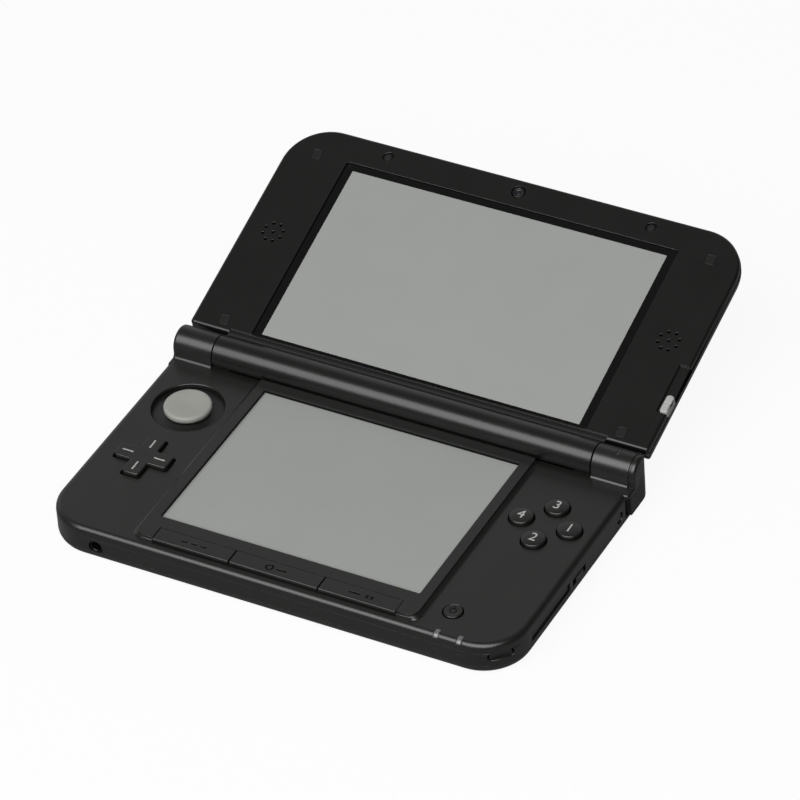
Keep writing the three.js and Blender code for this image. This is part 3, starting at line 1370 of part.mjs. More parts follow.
// Depth slider: a knob that wraps the lid's right edge and runs in a shallow channel
function depthSlider() {
  const y0 = DEPTH_SLIDER_UP;
  const y1 = DEPTH_SLIDER_UP + DEPTH_KNOB_LENGTH;
  const middle = (y0 + y1) / 2;
  const inner = depthChannel + FIT;
  const outer = HALF_WIDTH - 0.2;
  const under = depthChannelFloor + FIT;
  const skirt = depthSideFace + FIT;
  const top = LID_FACE + DEPTH_KNOB_RISE;
  const low = LID_FACE - 1.8;
  const knob = alongY(
    [[inner, under], [inner, top - 0.2], [inner + 0.2, top], [outer - 0.9, top], [outer - 0.3, top - 0.25],
      [outer, top - 0.9], [outer, low], [skirt, low], [skirt, under]],
    y0,
    y1,
  );
  return join(knob, block(inner + 0.4, outer - 1.2, middle - 0.35, middle + 0.35, under, top + 0.3));
}
mesh('depth_slider', depthSlider(), lightPlastic(), lid);

export default handheld;
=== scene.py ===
# A clamshell handheld game console, open for play. Values are in millimetres in the frame of the packed
# part, +X to the player's right, +Y away from the player, +Z up, and each finished mesh is made metres.
import json
import math

import bmesh
import bpy
from mathutils import Matrix, Vector


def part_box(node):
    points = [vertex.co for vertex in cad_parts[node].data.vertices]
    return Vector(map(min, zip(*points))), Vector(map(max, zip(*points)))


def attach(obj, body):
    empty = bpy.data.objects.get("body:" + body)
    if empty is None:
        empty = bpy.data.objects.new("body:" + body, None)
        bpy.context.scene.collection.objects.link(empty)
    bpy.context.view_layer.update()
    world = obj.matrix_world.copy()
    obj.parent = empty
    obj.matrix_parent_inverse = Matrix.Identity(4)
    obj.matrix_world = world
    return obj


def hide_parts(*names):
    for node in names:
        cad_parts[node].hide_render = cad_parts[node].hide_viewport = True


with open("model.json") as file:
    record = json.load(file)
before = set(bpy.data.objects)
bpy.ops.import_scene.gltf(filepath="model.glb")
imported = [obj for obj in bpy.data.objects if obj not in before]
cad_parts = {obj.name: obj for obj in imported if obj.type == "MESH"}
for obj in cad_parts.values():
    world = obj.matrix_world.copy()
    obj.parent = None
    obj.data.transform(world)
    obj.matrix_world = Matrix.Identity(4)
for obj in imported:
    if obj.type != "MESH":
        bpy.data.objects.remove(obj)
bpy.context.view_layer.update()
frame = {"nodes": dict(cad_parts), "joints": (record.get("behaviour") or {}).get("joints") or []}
scene = bpy.context.scene
scene.view_settings.view_transform = "Standard"
MM = 0.001

# Camera: a long lens from the player's right and above, turned a little in the picture, as the photograph
# was taken.
AIM = Vector((-4.012, 44.183, 11.6))
DISTANCE = 1768.66
FOCAL_LENGTH = 263.93
SENSOR_WIDTH = 36
azimuth = math.radians(30.345)
elevation = math.radians(38.923)
roll = math.radians(-4.253)
backward = Vector((
    math.sin(azimuth) * math.cos(elevation),
    -math.cos(azimuth) * math.cos(elevation),
    math.sin(elevation),
))
level = Vector((math.cos(azimuth), math.sin(azimuth), 0))
upright = backward.cross(level)
rightward = level * math.cos(roll) + upright * math.sin(roll)
upward = upright * math.cos(roll) - level * math.sin(roll)
camera = bpy.data.objects.new("camera", bpy.data.cameras.new("camera"))
camera.matrix_world = (
    Matrix.Translation((AIM + backward * DISTANCE) * MM)
    @ Matrix((rightward, upward, backward)).transposed().to_4x4()
)
camera.data.lens = FOCAL_LENGTH
camera.data.sensor_width = SENSOR_WIDTH
scene.collection.objects.link(camera)
scene.camera = camera

# Studio: a pale floor, a world that is brightest low behind the object and darker overhead and in front,
# and one wide soft box above the front. The camera sees the floor as nearly white, with a faint shadow.
# Black plastic shows what it mirrors, so the sky is shaded at the right, and mirrors see a grayer floor.
FLOOR_RADIUS = 8000
FLOOR_DROP = 0.05
FLOOR_GRAY = 0.82
FLOOR_IN_MIRRORS = 0.2
WHITE_FOR_CAMERA = 0.92
WHITE_FOR_MIRRORS = 0.06
LOW_SKY = 0.5
HIGH_SKY = 0.17
HIGH_SKY_FROM = 0.82
HORIZON = 0.5
FRONT_SKY = 0.12
FRONT_SKY_TO = -0.1
REAR_SKY_FROM = 0.35
RIGHT_SHADE = 0.15
FULL_SHADE_FROM = 0.4


def wire(tree, source, target):
    tree.links.new(source, target)


def gray(value):
    return (value, value, value, 1)


def add_node(tree, kind, **values):
    """A shader node with some of its inputs set, where an underscore in a name stands for a space"""
    made = tree.nodes.new(f"ShaderNode{kind}")
    for name, value in values.items():
        made.inputs[name.replace("_", " ")].default_value = value
    return made


def add_math(tree, operation, second=0.5):
    made = tree.nodes.new("ShaderNodeMath")
    made.operation = operation
    made.inputs[1].default_value = second
    return made


def add_mix(tree, first, second):
    made = tree.nodes.new("ShaderNodeMix")
    made.data_type = "RGBA"
    made.inputs["A"].default_value = first
    made.inputs["B"].default_value = second
    return made


def add_ramp(tree, first, second, start=0.0, end=1.0):
    """A ramp from one colour to another, between two places"""
    made = tree.nodes.new("ShaderNodeValToRGB")
    low_stop, high_stop = made.color_ramp.elements
    low_stop.position = start
    low_stop.color = first
    high_stop.position = end
    high_stop.color = second
    return made


def backdrop_share(tree):
    """How much of the plain white background each kind of ray sees, instead of the lit floor"""
    path = add_node(tree, "LightPath")
    mirrored = add_math(tree, "MAXIMUM")
    weighted = add_math(tree, "MULTIPLY", WHITE_FOR_MIRRORS)
    total = add_math(tree, "MULTIPLY_ADD", WHITE_FOR_CAMERA)
    wire(tree, path.outputs["Is Glossy Ray"], mirrored.inputs[0])
    wire(tree, path.outputs["Is Transmission Ray"], mirrored.inputs[1])
    wire(tree, mirrored.outputs[0], weighted.inputs[0])
    wire(tree, path.outputs["Is Camera Ray"], total.inputs[0])
    wire(tree, weighted.outputs[0], total.inputs[2])
    return total.outputs[0]


floor_paint = bpy.data.materials.new("floor_paint")
floor_paint.use_nodes = True
tree = floor_paint.node_tree
tree.nodes.clear()
rays = add_node(tree, "LightPath")
seen = add_mix(tree, gray(FLOOR_IN_MIRRORS), gray(FLOOR_GRAY))
matt = add_node(tree, "BsdfDiffuse")
glow = add_node(tree, "Emission")
blend = add_node(tree, "MixShader")
output = add_node(tree, "OutputMaterial")
wire(tree, rays.outputs["Is Camera Ray"], seen.inputs["Factor"])
wire(tree, seen.outputs["Result"], matt.inputs["Color"])
wire(tree, backdrop_share(tree), blend.inputs["Fac"])
wire(tree, matt.outputs[0], blend.inputs[1])
wire(tree, glow.outputs[0], blend.inputs[2])
wire(tree, blend.outputs[0], output.inputs["Surface"])
disc = bmesh.new()
bmesh.ops.create_circle(disc, cap_ends=True, segments=64, radius=FLOOR_RADIUS * MM)
bmesh.ops.translate(disc, verts=disc.verts, vec=(0, 0, -FLOOR_DROP * MM))
floor = bpy.data.objects.new("floor", bpy.data.meshes.new("floor"))
disc.to_mesh(floor.data)
floor.data.materials.append(floor_paint)
scene.collection.objects.link(floor)

world = bpy.data.worlds.new("studio")
world.use_nodes = True
scene.world = world
tree = world.node_tree
sky = tree.nodes["Background"]
direction = add_node(tree, "TexCoord")
split = add_node(tree, "SeparateXYZ")
rear_sky = add_ramp(tree, gray(LOW_SKY), gray(HIGH_SKY), HORIZON, HIGH_SKY_FROM)
rear_share = add_node(tree, "MapRange", From_Min=FRONT_SKY_TO, From_Max=REAR_SKY_FROM)
all_round = add_mix(tree, gray(FRONT_SKY), gray(0))
right_shade = add_node(
    tree, "MapRange", From_Min=0, From_Max=FULL_SHADE_FROM, To_Min=1, To_Max=RIGHT_SHADE
)
wire(tree, direction.outputs["Generated"], split.inputs[0])
wire(tree, split.outputs["Z"], rear_sky.inputs["Fac"])
wire(tree, split.outputs["Y"], rear_share.inputs["Value"])
wire(tree, rear_share.outputs[0], all_round.inputs["Factor"])
wire(tree, rear_sky.outputs["Color"], all_round.inputs["B"])
wire(tree, all_round.outputs["Result"], sky.inputs["Color"])
wire(tree, split.outputs["X"], right_shade.inputs["Value"])
wire(tree, right_shade.outputs[0], sky.inputs["Strength"])


def soft_box(name, side_angle, height_angle, reach, width, height, power):
    """A soft box at an angle round the object, where 0 is the front and left is negative"""
    lamp = bpy.data.lights.new(name, "AREA")
    lamp.shape = "RECTANGLE"
    lamp.size = width
    lamp.size_y = height
    lamp.energy = power
    around = math.radians(side_angle)
    above = math.radians(height_angle)
    towards = Vector((
        math.sin(around) * math.cos(above),
        -math.cos(around) * math.cos(above),
        math.sin(above),
    ))
    box = bpy.data.objects.new(name, lamp)
    box.rotation_mode = "QUATERNION"
    box.rotation_quaternion = towards.to_track_quat("Z", "Y")
    box.location = towards * reach
    scene.collection.objects.link(box)


soft_box(
    "wide_front_box", side_angle=3, height_angle=50, reach=1.5, width=2.1, height=1.25, power=32.5
)

# Bottom cover: a shallow tray under the base, moulded in black plastic, held by two captive screws. Its
# edge is rounded all round, and its right rear corner bulges a little round the shoulder button.
UNDERSIDE_EDGE = 3.2
COVER_FLOOR = 1.2
COVER_RIM = 1.2
RIM_SLOPE = 0.05
OVERLAP = 0.02
SHARP_FROM = 35
FRONT_CORNER = 14.5
REAR_CORNER = 3.8
SMALLEST_CORNER = 0.6
SCREW_HEAD = 2.3
SCREW_GAP = 0.3
SCREW_HOLE = 1.3
SCREW_INSET = 7
SCREW_PLACE = -2
CORNER_BULGE = 0.9
LEFT_PROUD = 0.02
BULGE_RADIUS = 6.1
BULGE_START = 58.6
BULGE_FRONT = 31.4
BULGE_FRONT_RADIUS = 1.6
BULGE_LOW = 2.5
BULGE_LOW_EDGE = 0.8
BULGE_FOOT = 3.4
GRAIN_SIZE = 0.28
GRAIN_HEIGHT = 0.006
CLOUD_SCALE = 60
POLISH_CHANGE = 0.06
FLAT_FACE_WEIGHT = 60


def box_of(node):
    """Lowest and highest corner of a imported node"""
    low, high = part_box(node)
    return low / MM, high / MM


def plastic(name, colour, roughness, grain=0.35, gloss=0.5, variation=0.12):
    """Moulded plastic with a fine grain, and a slow change of tone and gloss over the moulding"""
    material = bpy.data.materials.new(name)
    material.use_nodes = True
    tree = material.node_tree
    shader = tree.nodes["Principled BSDF"]
    shader.inputs["Specular IOR Level"].default_value = gloss
    place = add_node(tree, "TexCoord")
    grains = add_node(tree, "TexNoise", Scale=1 / (GRAIN_SIZE * MM), Detail=2)
    clouds = add_node(tree, "TexNoise", Scale=CLOUD_SCALE, Detail=3)
    darker = (*(c * (1 - variation) for c in colour), 1)
    lighter = (*(c * (1 + variation) for c in colour), 1)
    tone = add_ramp(tree, darker, lighter, 0.3, 0.7)
    smoother = roughness * (1 - POLISH_CHANGE)
    rougher = roughness * (1 + POLISH_CHANGE)
    polish = add_node(tree, "MapRange", To_Min=smoother, To_Max=rougher)
    bump = add_node(tree, "Bump", Strength=grain, Distance=GRAIN_HEIGHT * MM)
    for texture in (grains, clouds):
        wire(tree, place.outputs["Object"], texture.inputs["Vector"])
    wire(tree, clouds.outputs["Fac"], tone.inputs["Fac"])
    wire(tree, tone.outputs["Color"], shader.inputs["Base Color"])
    wire(tree, clouds.outputs["Fac"], polish.inputs["Value"])
    wire(tree, polish.outputs[0], shader.inputs["Roughness"])
    wire(tree, grains.outputs["Fac"], bump.inputs["Height"])
    wire(tree, bump.outputs["Normal"], shader.inputs["Normal"])
    return material


def rounded(bm, parts, radius, segments, affect="EDGES"):
    """Rounds edges, or the corners of a flat face"""
    bmesh.ops.bevel(
        bm, geom=parts, offset=radius, segments=segments, profile=0.5, affect=affect, material=-1
    )


def outline(bm, half, y0, y1, front, back, z, x=0.0, steps=(14, 8)):
    """The face of a rounded rectangle, with one corner radius at its front and one at its back"""
    kept = set(bm.faces)
    corners = [
        bmesh.ops.create_vert(bm, co=(x + side * half, y, z))["vert"][0]
        for side, y in ((-1, y0), (1, y0), (1, y1), (-1, y1))
    ]
    bm.faces.new(corners)
    rounded(bm, corners[:2], front, steps[0], "VERTICES")
    rounded(bm, corners[2:], back, steps[1], "VERTICES")
    return next(face for face in bm.faces if face not in kept)


def loft(bm, rings):
    """Walls from each ring to the next, where the first and the last ring keep their faces"""
    for lower, upper in zip(rings, rings[1:]):
        bmesh.ops.bridge_loops(bm, edges=[*lower.edges, *upper.edges])
    bmesh.ops.delete(bm, geom=rings[1:-1], context="FACES_ONLY")
    bmesh.ops.recalc_face_normals(bm, faces=bm.faces)


def stacked(plan, levels):
    """A new solid with a plan's outline at each (height, inset) of levels"""
    bm = bmesh.new()
    loft(bm, [plan(bm, inset, z) for z, inset in levels])
    return bm


def edge_levels(z, inset, radius, direction, steps=7):
    """(height, inset) pairs of a quarter-round edge that starts on the flat at z"""
    angles = [math.pi / 2 * i / steps for i in range(steps + 1)]
    return [
        (z + direction * radius * (1 - math.cos(a)), inset + radius * (1 - math.sin(a)))
        for a in angles
    ]


def turned(bm, profile, centre, steps=64, axis=(0, 0, 1), outward=(1, 0, 0)):
    """A solid of revolution from (radius, height) pairs that start and end on the axis"""
    along = Vector(axis)
    side = Vector(outward)
    points = [
        bmesh.ops.create_vert(bm, co=Vector(centre) + side * radius + along * height)["vert"][0]
        for radius, height in profile
    ]
    edges = [bm.edges.new(pair) for pair in zip(points, points[1:])]
    bmesh.ops.spin(
        bm,
        geom=[*points, *edges],
        cent=centre,
        axis=axis,
        angle=math.tau,
        steps=steps,
        use_merge=True,
        use_normal_flip=False,
        use_duplicate=False,
    )
    bmesh.ops.remove_doubles(bm, verts=bm.verts, dist=1e-4)
    bmesh.ops.recalc_face_normals(bm, faces=bm.faces)


def as_object(bm, name):
    """A loose object from a bmesh, which is freed"""
    made = bpy.data.objects.new(name, bpy.data.meshes.new(name))
    bm.to_mesh(made.data)
    bm.free()
    scene.collection.objects.link(made)
    return made


def combined(bm, *tools):
    """The bmesh after each (operation, bmesh) of tools, worked out exactly and one after another"""
    for operation, tool in tools:
        target = as_object(bm, "work")
        helper = as_object(tool, "tool")
        step = target.modifiers.new("step", "BOOLEAN")
        step.operation = operation
        step.object = helper
        step.solver = "EXACT"
        bpy.context.view_layer.update()
        evaluated = target.evaluated_get(bpy.context.evaluated_depsgraph_get())
        bm = bmesh.new()
        bm.from_mesh(evaluated.to_mesh())
        evaluated.to_mesh_clear()
        for used in (target, helper):
            mesh = used.data
            bpy.data.objects.remove(used)
            bpy.data.meshes.remove(mesh)
        bmesh.ops.dissolve_degenerate(bm, edges=bm.edges, dist=1e-4)
    return bm


def piece(name, bm, materials, body, nodes=(), place=None, edge=0.15, rounds=2):
    """A finished piece in the frame, with its edges rounded and its flat faces kept flat in the light"""
    bmesh.ops.remove_doubles(bm, verts=bm.verts, dist=1e-4)
    if place:
        bmesh.ops.transform(bm, matrix=place, verts=bm.verts)
    bmesh.ops.scale(bm, vec=(MM, MM, MM), verts=bm.verts)
    made = as_object(bm, name)
    for material in materials if isinstance(materials, list) else [materials]:
        made.data.materials.append(material)
    made.data.shade_smooth()
    if edge:
        softening = made.modifiers.new("edges", "BEVEL")
        softening.width = edge * MM
        softening.segments = rounds
        softening.limit_method = "ANGLE"
        softening.angle_limit = math.radians(SHARP_FROM)
        softening.use_clamp_overlap = False
    shading = made.modifiers.new("shading", "WEIGHTED_NORMAL")
    shading.weight = FLAT_FACE_WEIGHT
    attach(made, body)
    if nodes:
        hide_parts(*nodes)


def arc(centre_r, centre_z, radius, start, end, steps=4):
    """Points of an arc in a profile, with its angles in degrees"""
    angles = [math.radians(start + (end - start) * i / steps) for i in range(steps + 1)]
    return [(centre_r + radius * math.cos(a), centre_z + radius * math.sin(a)) for a in angles]


def push_out(bm, grown, vec):
    """Moves the corners that an extrusion has made"""
    far = [part for part in grown["geom"] if isinstance(part, bmesh.types.BMVert)]
    bmesh.ops.translate(bm, verts=far, vec=vec)


def stretched(bm, points, x0, x1):
    """A closed shape in the YZ plane, drawn out along X"""
    face = bm.faces.new([bmesh.ops.create_vert(bm, co=(x0, y, z))["vert"][0] for y, z in points])
    push_out(bm, bmesh.ops.extrude_face_region(bm, geom=[face]), (x1 - x0, 0, 0))
    bmesh.ops.recalc_face_normals(bm, faces=bm.faces)


def corner_ring(bm, inset, z):
    """The plan of the rear corners, where the right one bulges out round its shoulder button"""
    return outline(
        bm,
        half_width + (CORNER_BULGE + LEFT_PROUD) / 2 - inset,
        BULGE_FRONT + inset,
        rear_end + CORNER_BULGE / 2 - inset,
        BULGE_FRONT_RADIUS - inset,
        BULGE_RADIUS - inset,
        z,
        x=(CORNER_BULGE - LEFT_PROUD) / 2,
        steps=(8, 12),
    )


def corner_spaces(z1, sides=(-1, 1)):
    """Blocks over the rear corners, rounded at their lower front edge"""
    spaces = bmesh.new()
    back = rear_end + 3
    front = BULGE_FRONT - OVERLAP
    foot = arc(front + BULGE_FOOT, BULGE_LOW + BULGE_FOOT, BULGE_FOOT, 180, 270, 12)
    for side in sides:
        ends = sorted((side * BULGE_START, side * (half_width + 3)))
        stretched(spaces, [(back, BULGE_LOW), (back, z1), (front, z1), *foot], *ends)
    return spaces


def base_ring(bm, inset, z):
    """The base's plan at a height, so far inside its widest outline"""
    return outline(
        bm,
        half_width - inset,
        front_end + inset,
        rear_end - inset,
        FRONT_CORNER - inset,
        max(REAR_CORNER - inset, SMALLEST_CORNER),
        z,
    )


cover_low, cover_high = box_of("bottom_cover")
half_width = cover_high.x
front_end = cover_low.y
rear_end = cover_high.y
cover_top = cover_high.z
screw_x = half_width - SCREW_INSET
black_plastic = plastic("black_plastic", (0.008, 0.0082, 0.0074), 0.31, gloss=0.7)

levels = [
    *edge_levels(0, 0, UNDERSIDE_EDGE, 1),
    (cover_top, 0),
    (cover_top - RIM_SLOPE, COVER_RIM),
    (COVER_FLOOR * 2, UNDERSIDE_EDGE / 2),
    (COVER_FLOOR, UNDERSIDE_EDGE - 0.2),
]
tray = stacked(base_ring, levels)
wells = bmesh.new()
for side in (-1, 1):
    well_radius = SCREW_HEAD + SCREW_GAP
    turned(
        wells,
        [
            (0, -1), (well_radius, -1), (well_radius, COVER_FLOOR),
            (SCREW_HOLE, COVER_FLOOR), (SCREW_HOLE, 3), (0, 3),
        ],
        (side * screw_x, SCREW_PLACE, 0),
    )
levels = [*edge_levels(BULGE_LOW, 0, BULGE_LOW_EDGE, 1, 4), (cover_top - OVERLAP, 0)]
bulges = combined(stacked(corner_ring, levels), ("INTERSECT", corner_spaces(6)))
core = stacked(base_ring, [(COVER_FLOOR, COVER_RIM), (6, COVER_RIM)])
tray = combined(tray, ("DIFFERENCE", wells), ("UNION", combined(bulges, ("DIFFERENCE", core))))
piece("underside_tray", tray, black_plastic, "base", ["bottom_cover"], edge=0.03)

# Cover screws: two captive steel screws with a round head and a cross recess, sunk in the bottom cover at
# the middle of its left and right sides.
SCREW_FACE = 1.8
SCREW_BEVEL = 0.35
SCREW_HEAD_TOP = 1.1
SCREW_SHANK = 1
RECESS_LENGTH = 2.6
RECESS_WIDTH = 0.5
RECESS_TOP = 0.7
SCRATCH_SCALE = 60


def metal(name, colour, roughness):
    """Plain metal with fine scratches along X"""
    material = bpy.data.materials.new(name)
    material.use_nodes = True
    tree = material.node_tree
    shader = tree.nodes["Principled BSDF"]
    shader.inputs["Metallic"].default_value = 1
    place = add_node(tree, "TexCoord")
    stretch = add_node(tree, "Mapping", Scale=(SCRATCH_SCALE, SCRATCH_SCALE * 20, SCRATCH_SCALE * 20))
    scratches = add_node(tree, "TexNoise", Scale=4, Detail=4)
    tone = add_ramp(tree, (*(c * 0.85 for c in colour), 1), (*colour, 1))
    polish = add_node(tree, "MapRange", To_Min=roughness * 0.8, To_Max=roughness * 1.2)
    wire(tree, place.outputs["Object"], stretch.inputs["Vector"])
    wire(tree, stretch.outputs[0], scratches.inputs["Vector"])
    wire(tree, scratches.outputs["Fac"], tone.inputs["Fac"])
    wire(tree, tone.outputs["Color"], shader.inputs["Base Color"])
    wire(tree, scratches.outputs["Fac"], polish.inputs["Value"])
    wire(tree, polish.outputs[0], shader.inputs["Roughness"])
    return material


def block(bm, x0, x1, y0, y1, z0, z1, corner=0.0, steps=3):
    """A block, with round upright corners where a radius is given"""
    middle = Vector(((x0 + x1) / 2, (y0 + y1) / 2, (z0 + z1) / 2))
    size = Matrix.Diagonal((x1 - x0, y1 - y0, z1 - z0, 1))
    cube = bmesh.ops.create_cube(bm, size=1, matrix=Matrix.Translation(middle) @ size)
    if corner:
        ends = set(cube["verts"])
        uprights = [
            edge for edge in bm.edges
            if edge.verts[0] in ends and (edge.verts[0].co.xy - edge.verts[1].co.xy).length < 1e-6
        ]
        rounded(bm, uprights, corner, steps)


def block_at(bm, x, y, length, width, z0, z1, corner=0.0, steps=3):
    """A block whose plan is centred on a point"""
    block(bm, x - length / 2, x + length / 2, y - width / 2, y + width / 2, z0, z1, corner, steps)


steel = metal("steel", (0.5, 0.5, 0.49), 0.35)
for name, side in (("left", -1), ("right", 1)):
    low, high = box_of(f"{name}_cover_screw")
    screw = bmesh.new()
    x = side * screw_x
    turned(
        screw,
        [
            (0, low.z), (SCREW_FACE, low.z), (SCREW_HEAD, low.z + SCREW_BEVEL),
            (SCREW_HEAD, SCREW_HEAD_TOP), (SCREW_SHANK, SCREW_HEAD_TOP),
            (SCREW_SHANK, high.z), (0, high.z),
        ],
        (x, SCREW_PLACE, 0),
        steps=48,
    )
    slots = (
        (RECESS_LENGTH, RECESS_WIDTH, RECESS_TOP),
        (RECESS_WIDTH, RECESS_LENGTH, RECESS_TOP - 0.01),
    )
    for length, width, top in slots:
        recess = bmesh.new()
        block_at(recess, x, SCREW_PLACE, length, width, -1, top)
        screw = combined(screw, ("DIFFERENCE", recess))
    piece(f"{name}_screw", screw, steel, "base", [f"{name}_cover_screw"], edge=0.06)

# Bottom case: the black middle shell of the base, a moulded tray with openings in its side wall for the
# jack, the sockets, the sliders, the stylus, the memory door and the wrist strap.
CASE_INSET = 0.03
CASE_WALL = 1.8
CASE_FLOOR = 0.8
DRAFT = 0.02
STRAP_ANGLE = -44
STRAP_REACH = 13.9
STRAP_LENGTH = 8.2
STRAP_HEIGHT = 2.3
STRAP_Z = 6.55
STRAP_LIP = 0.35
STRAP_CUT_DEPTH = 5
STRAP_BAR_REACH = 12.55
STRAP_BAR_WIDTH = 7
STRAP_BAR_THICK = 1.9
JACK_X = -58.7
JACK_Z = 5.1
JACK_HOLE = 2.35
STYLUS_MOUTH = 1.92
SOCKET_GAP = 0.3
DOOR_GAP = 0.15
SLIDER_SLOT = 2.4
VOLUME_SLOT_HALF = 5.6
SWITCH_SLOT_HALF = 4.2
SHOULDER_DEPTH = 3.2
WALL_MARK_DEPTH = 0.12
WALL_MARK_DROP = 1.2
WALL_RING = (0.5, 0.8)
WALL_DOT = 0.35
LIGHT_NAMES = ("power_light_guide", "charge_light_guide")
ALONG_X = {"axis": (1, 0, 0), "outward": (0, 1, 0)}
ALONG_Y = {"axis": (0, 1, 0)}


def middle_of(node):
    """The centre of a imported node"""
    low, high = box_of(node)
    return (low + high) / 2


case_top = box_of("bottom_case")[1].z
card_low, card_high = box_of("game_card_reader")
socket_low, socket_high = box_of("charge_socket")
window_low, window_high = box_of("ir_window")
door_low, door_high = box_of("sd_card_door")
stylus_low, stylus_high = box_of("stylus")
shoulder_low = box_of("right_shoulder_button")[0]
switch_middle = middle_of("wireless_switch")
volume_middle = middle_of("volume_slider")
stylus_middle = middle_of("stylus")
strap_turn = math.radians(STRAP_ANGLE)
strap_pivot = Vector((half_width - FRONT_CORNER, front_end + FRONT_CORNER, 0))


def rod(bm, radius, start, end, centre, **turning):
    """A plain round bar along an axis"""
    turned(bm, [(0, start), (radius, start), (radius, end), (0, end)], centre, **turning)


def tube(bm, inner, outer, start, end, centre, **turning):
    """A plain ring along an axis"""
    walls = [(inner, start), (outer, start), (outer, end), (inner, end), (inner, start)]
    turned(bm, walls, centre, **turning)


def soften(bm, radius, chosen, steps=3):
    """Rounds the sharp edges that chosen picks by their middle"""
    edges = [
        e for e in bm.edges
        if len(e.link_faces) == 2
        and e.calc_face_angle(0) > math.radians(40)
        and chosen((e.verts[0].co + e.verts[1].co) / 2)
    ]
    rounded(bm, edges, radius, steps)


def shoulder_room(z0, z1):
    """The two corner spaces in which the shoulder buttons swing"""
    room = bmesh.new()
    for side in (-1, 1):
        start, end = sorted((side * (shoulder_low.x - 0.5), side * (half_width + 2)))
        block(room, start, end, shoulder_low.y - 1, rear_end + 2, z0 - 2, z1 + 2)
    ring = stacked(base_ring, [(z0, -1), (z1, -1)])
    core = stacked(base_ring, [(z0 - 1, SHOULDER_DEPTH), (z1 + 1, SHOULDER_DEPTH)])
    return combined(ring, ("DIFFERENCE", core), ("INTERSECT", room))


def rear_opening(bm, low, high, spread, z0, z1):
    """A cutter through the rear wall for a fitting, wider than it by spread"""
    block(bm, low.x - spread, high.x + spread, rear_end - 4, rear_end + 1, z0, z1)


def stylus_hole():
    """The round mouth that the stylus leaves by, in the right wall"""
    mouth = bmesh.new()
    centre = (half_width, stylus_middle.y, stylus_middle.z)
    rod(mouth, STYLUS_MOUTH, -4, 2, centre, steps=48, **ALONG_X)
    return mouth


def to_front_corner(bm):
    """Turns a shape from the origin to the strap's place in the right front corner"""
    bmesh.ops.rotate(bm, verts=bm.verts, cent=(0, 0, 0), matrix=Matrix.Rotation(strap_turn, 3, "Z"))
    bmesh.ops.translate(bm, verts=bm.verts, vec=strap_pivot + Vector((0, 0, STRAP_Z)))


wall = stacked(base_ring, [
    (cover_top, CASE_INSET),
    (case_top, CASE_INSET),
    (case_top - RIM_SLOPE, CASE_WALL),
    (cover_top + CASE_FLOOR, CASE_WALL + DRAFT),
])
holes = bmesh.new()
rod(holes, JACK_HOLE, 0, 5, (JACK_X, front_end - 1, JACK_Z), steps=48, **ALONG_Y)
rear_opening(holes, card_low, card_high, -0.8, cover_top - 1, case_top + 1)
rear_opening(holes, socket_low, socket_high, SOCKET_GAP, socket_low.z - 0.01, socket_high.z + 0.1)
rear_opening(holes, window_low, window_high, SOCKET_GAP, window_low.z - 0.01, window_high.z + 0.3)
block(
    holes, half_width - 4, half_width + 1, door_low.y - DOOR_GAP, door_high.y + DOOR_GAP,
    door_low.z - DOOR_GAP, door_high.z + DOOR_GAP,
)
for middle, half, x0, x1 in (
    (switch_middle, SWITCH_SLOT_HALF, half_width - 3, half_width + 1),
    (volume_middle, VOLUME_SLOT_HALF, -half_width - 1, 3 - half_width),
):
    low_z = middle.z - SLIDER_SLOT / 2
    block(holes, x0, x1, middle.y - half, middle.y + half, low_z, low_z + SLIDER_SLOT)
strap = bmesh.new()
strap_near = STRAP_REACH - STRAP_CUT_DEPTH / 2
block_at(
    strap, 0, 0, STRAP_HEIGHT, STRAP_LENGTH, strap_near, strap_near + STRAP_CUT_DEPTH,
    corner=STRAP_HEIGHT * 0.45, steps=6,
)
on_its_side = Matrix.Rotation(math.pi / 2, 3, "Y")
bmesh.ops.rotate(strap, verts=strap.verts, cent=(0, 0, 0), matrix=on_its_side)
to_front_corner(strap)
bar = bmesh.new()
bar_low = cover_top + 0.3 - STRAP_Z
bar_high = case_top - 0.1 - STRAP_Z
block_at(bar, STRAP_BAR_REACH, 0, STRAP_BAR_THICK, STRAP_BAR_WIDTH, bar_low, bar_high)
to_front_corner(bar)
wall_marks = bmesh.new()
ring_x, dot_x = (middle_of(name).x for name in LIGHT_NAMES)
mark_y = front_end + CASE_INSET
mark_z = case_top - WALL_MARK_DROP
ring_centre = (ring_x, mark_y, mark_z)
dot_centre = (dot_x, mark_y, mark_z)
tube(wall_marks, *WALL_RING, -1, WALL_MARK_DEPTH, ring_centre, steps=24, **ALONG_Y)
rod(wall_marks, WALL_DOT, -1, WALL_MARK_DEPTH, dot_centre, steps=24, **ALONG_Y)
wall = combined(
    wall,
    ("DIFFERENCE", holes),
    ("DIFFERENCE", stylus_hole()),
    ("DIFFERENCE", strap),
    ("DIFFERENCE", shoulder_room(cover_top + 0.1, case_top + 1)),
    ("UNION", bar),
    ("DIFFERENCE", wall_marks),
)
outward = Vector((math.cos(strap_turn), math.sin(strap_turn), 0))
strap_middle = strap_pivot + outward * (FRONT_CORNER - 0.4)
soften(
    wall,
    STRAP_LIP,
    lambda p: abs(p.z - STRAP_Z) < STRAP_HEIGHT * 0.7
    and (p.xy - strap_pivot.xy).length > FRONT_CORNER - 0.3
    and (p.xy - strap_middle.xy).length < STRAP_LENGTH * 0.7,
)
piece("side_wall_case", wall, black_plastic, "base", ["bottom_case"], edge=0.03)

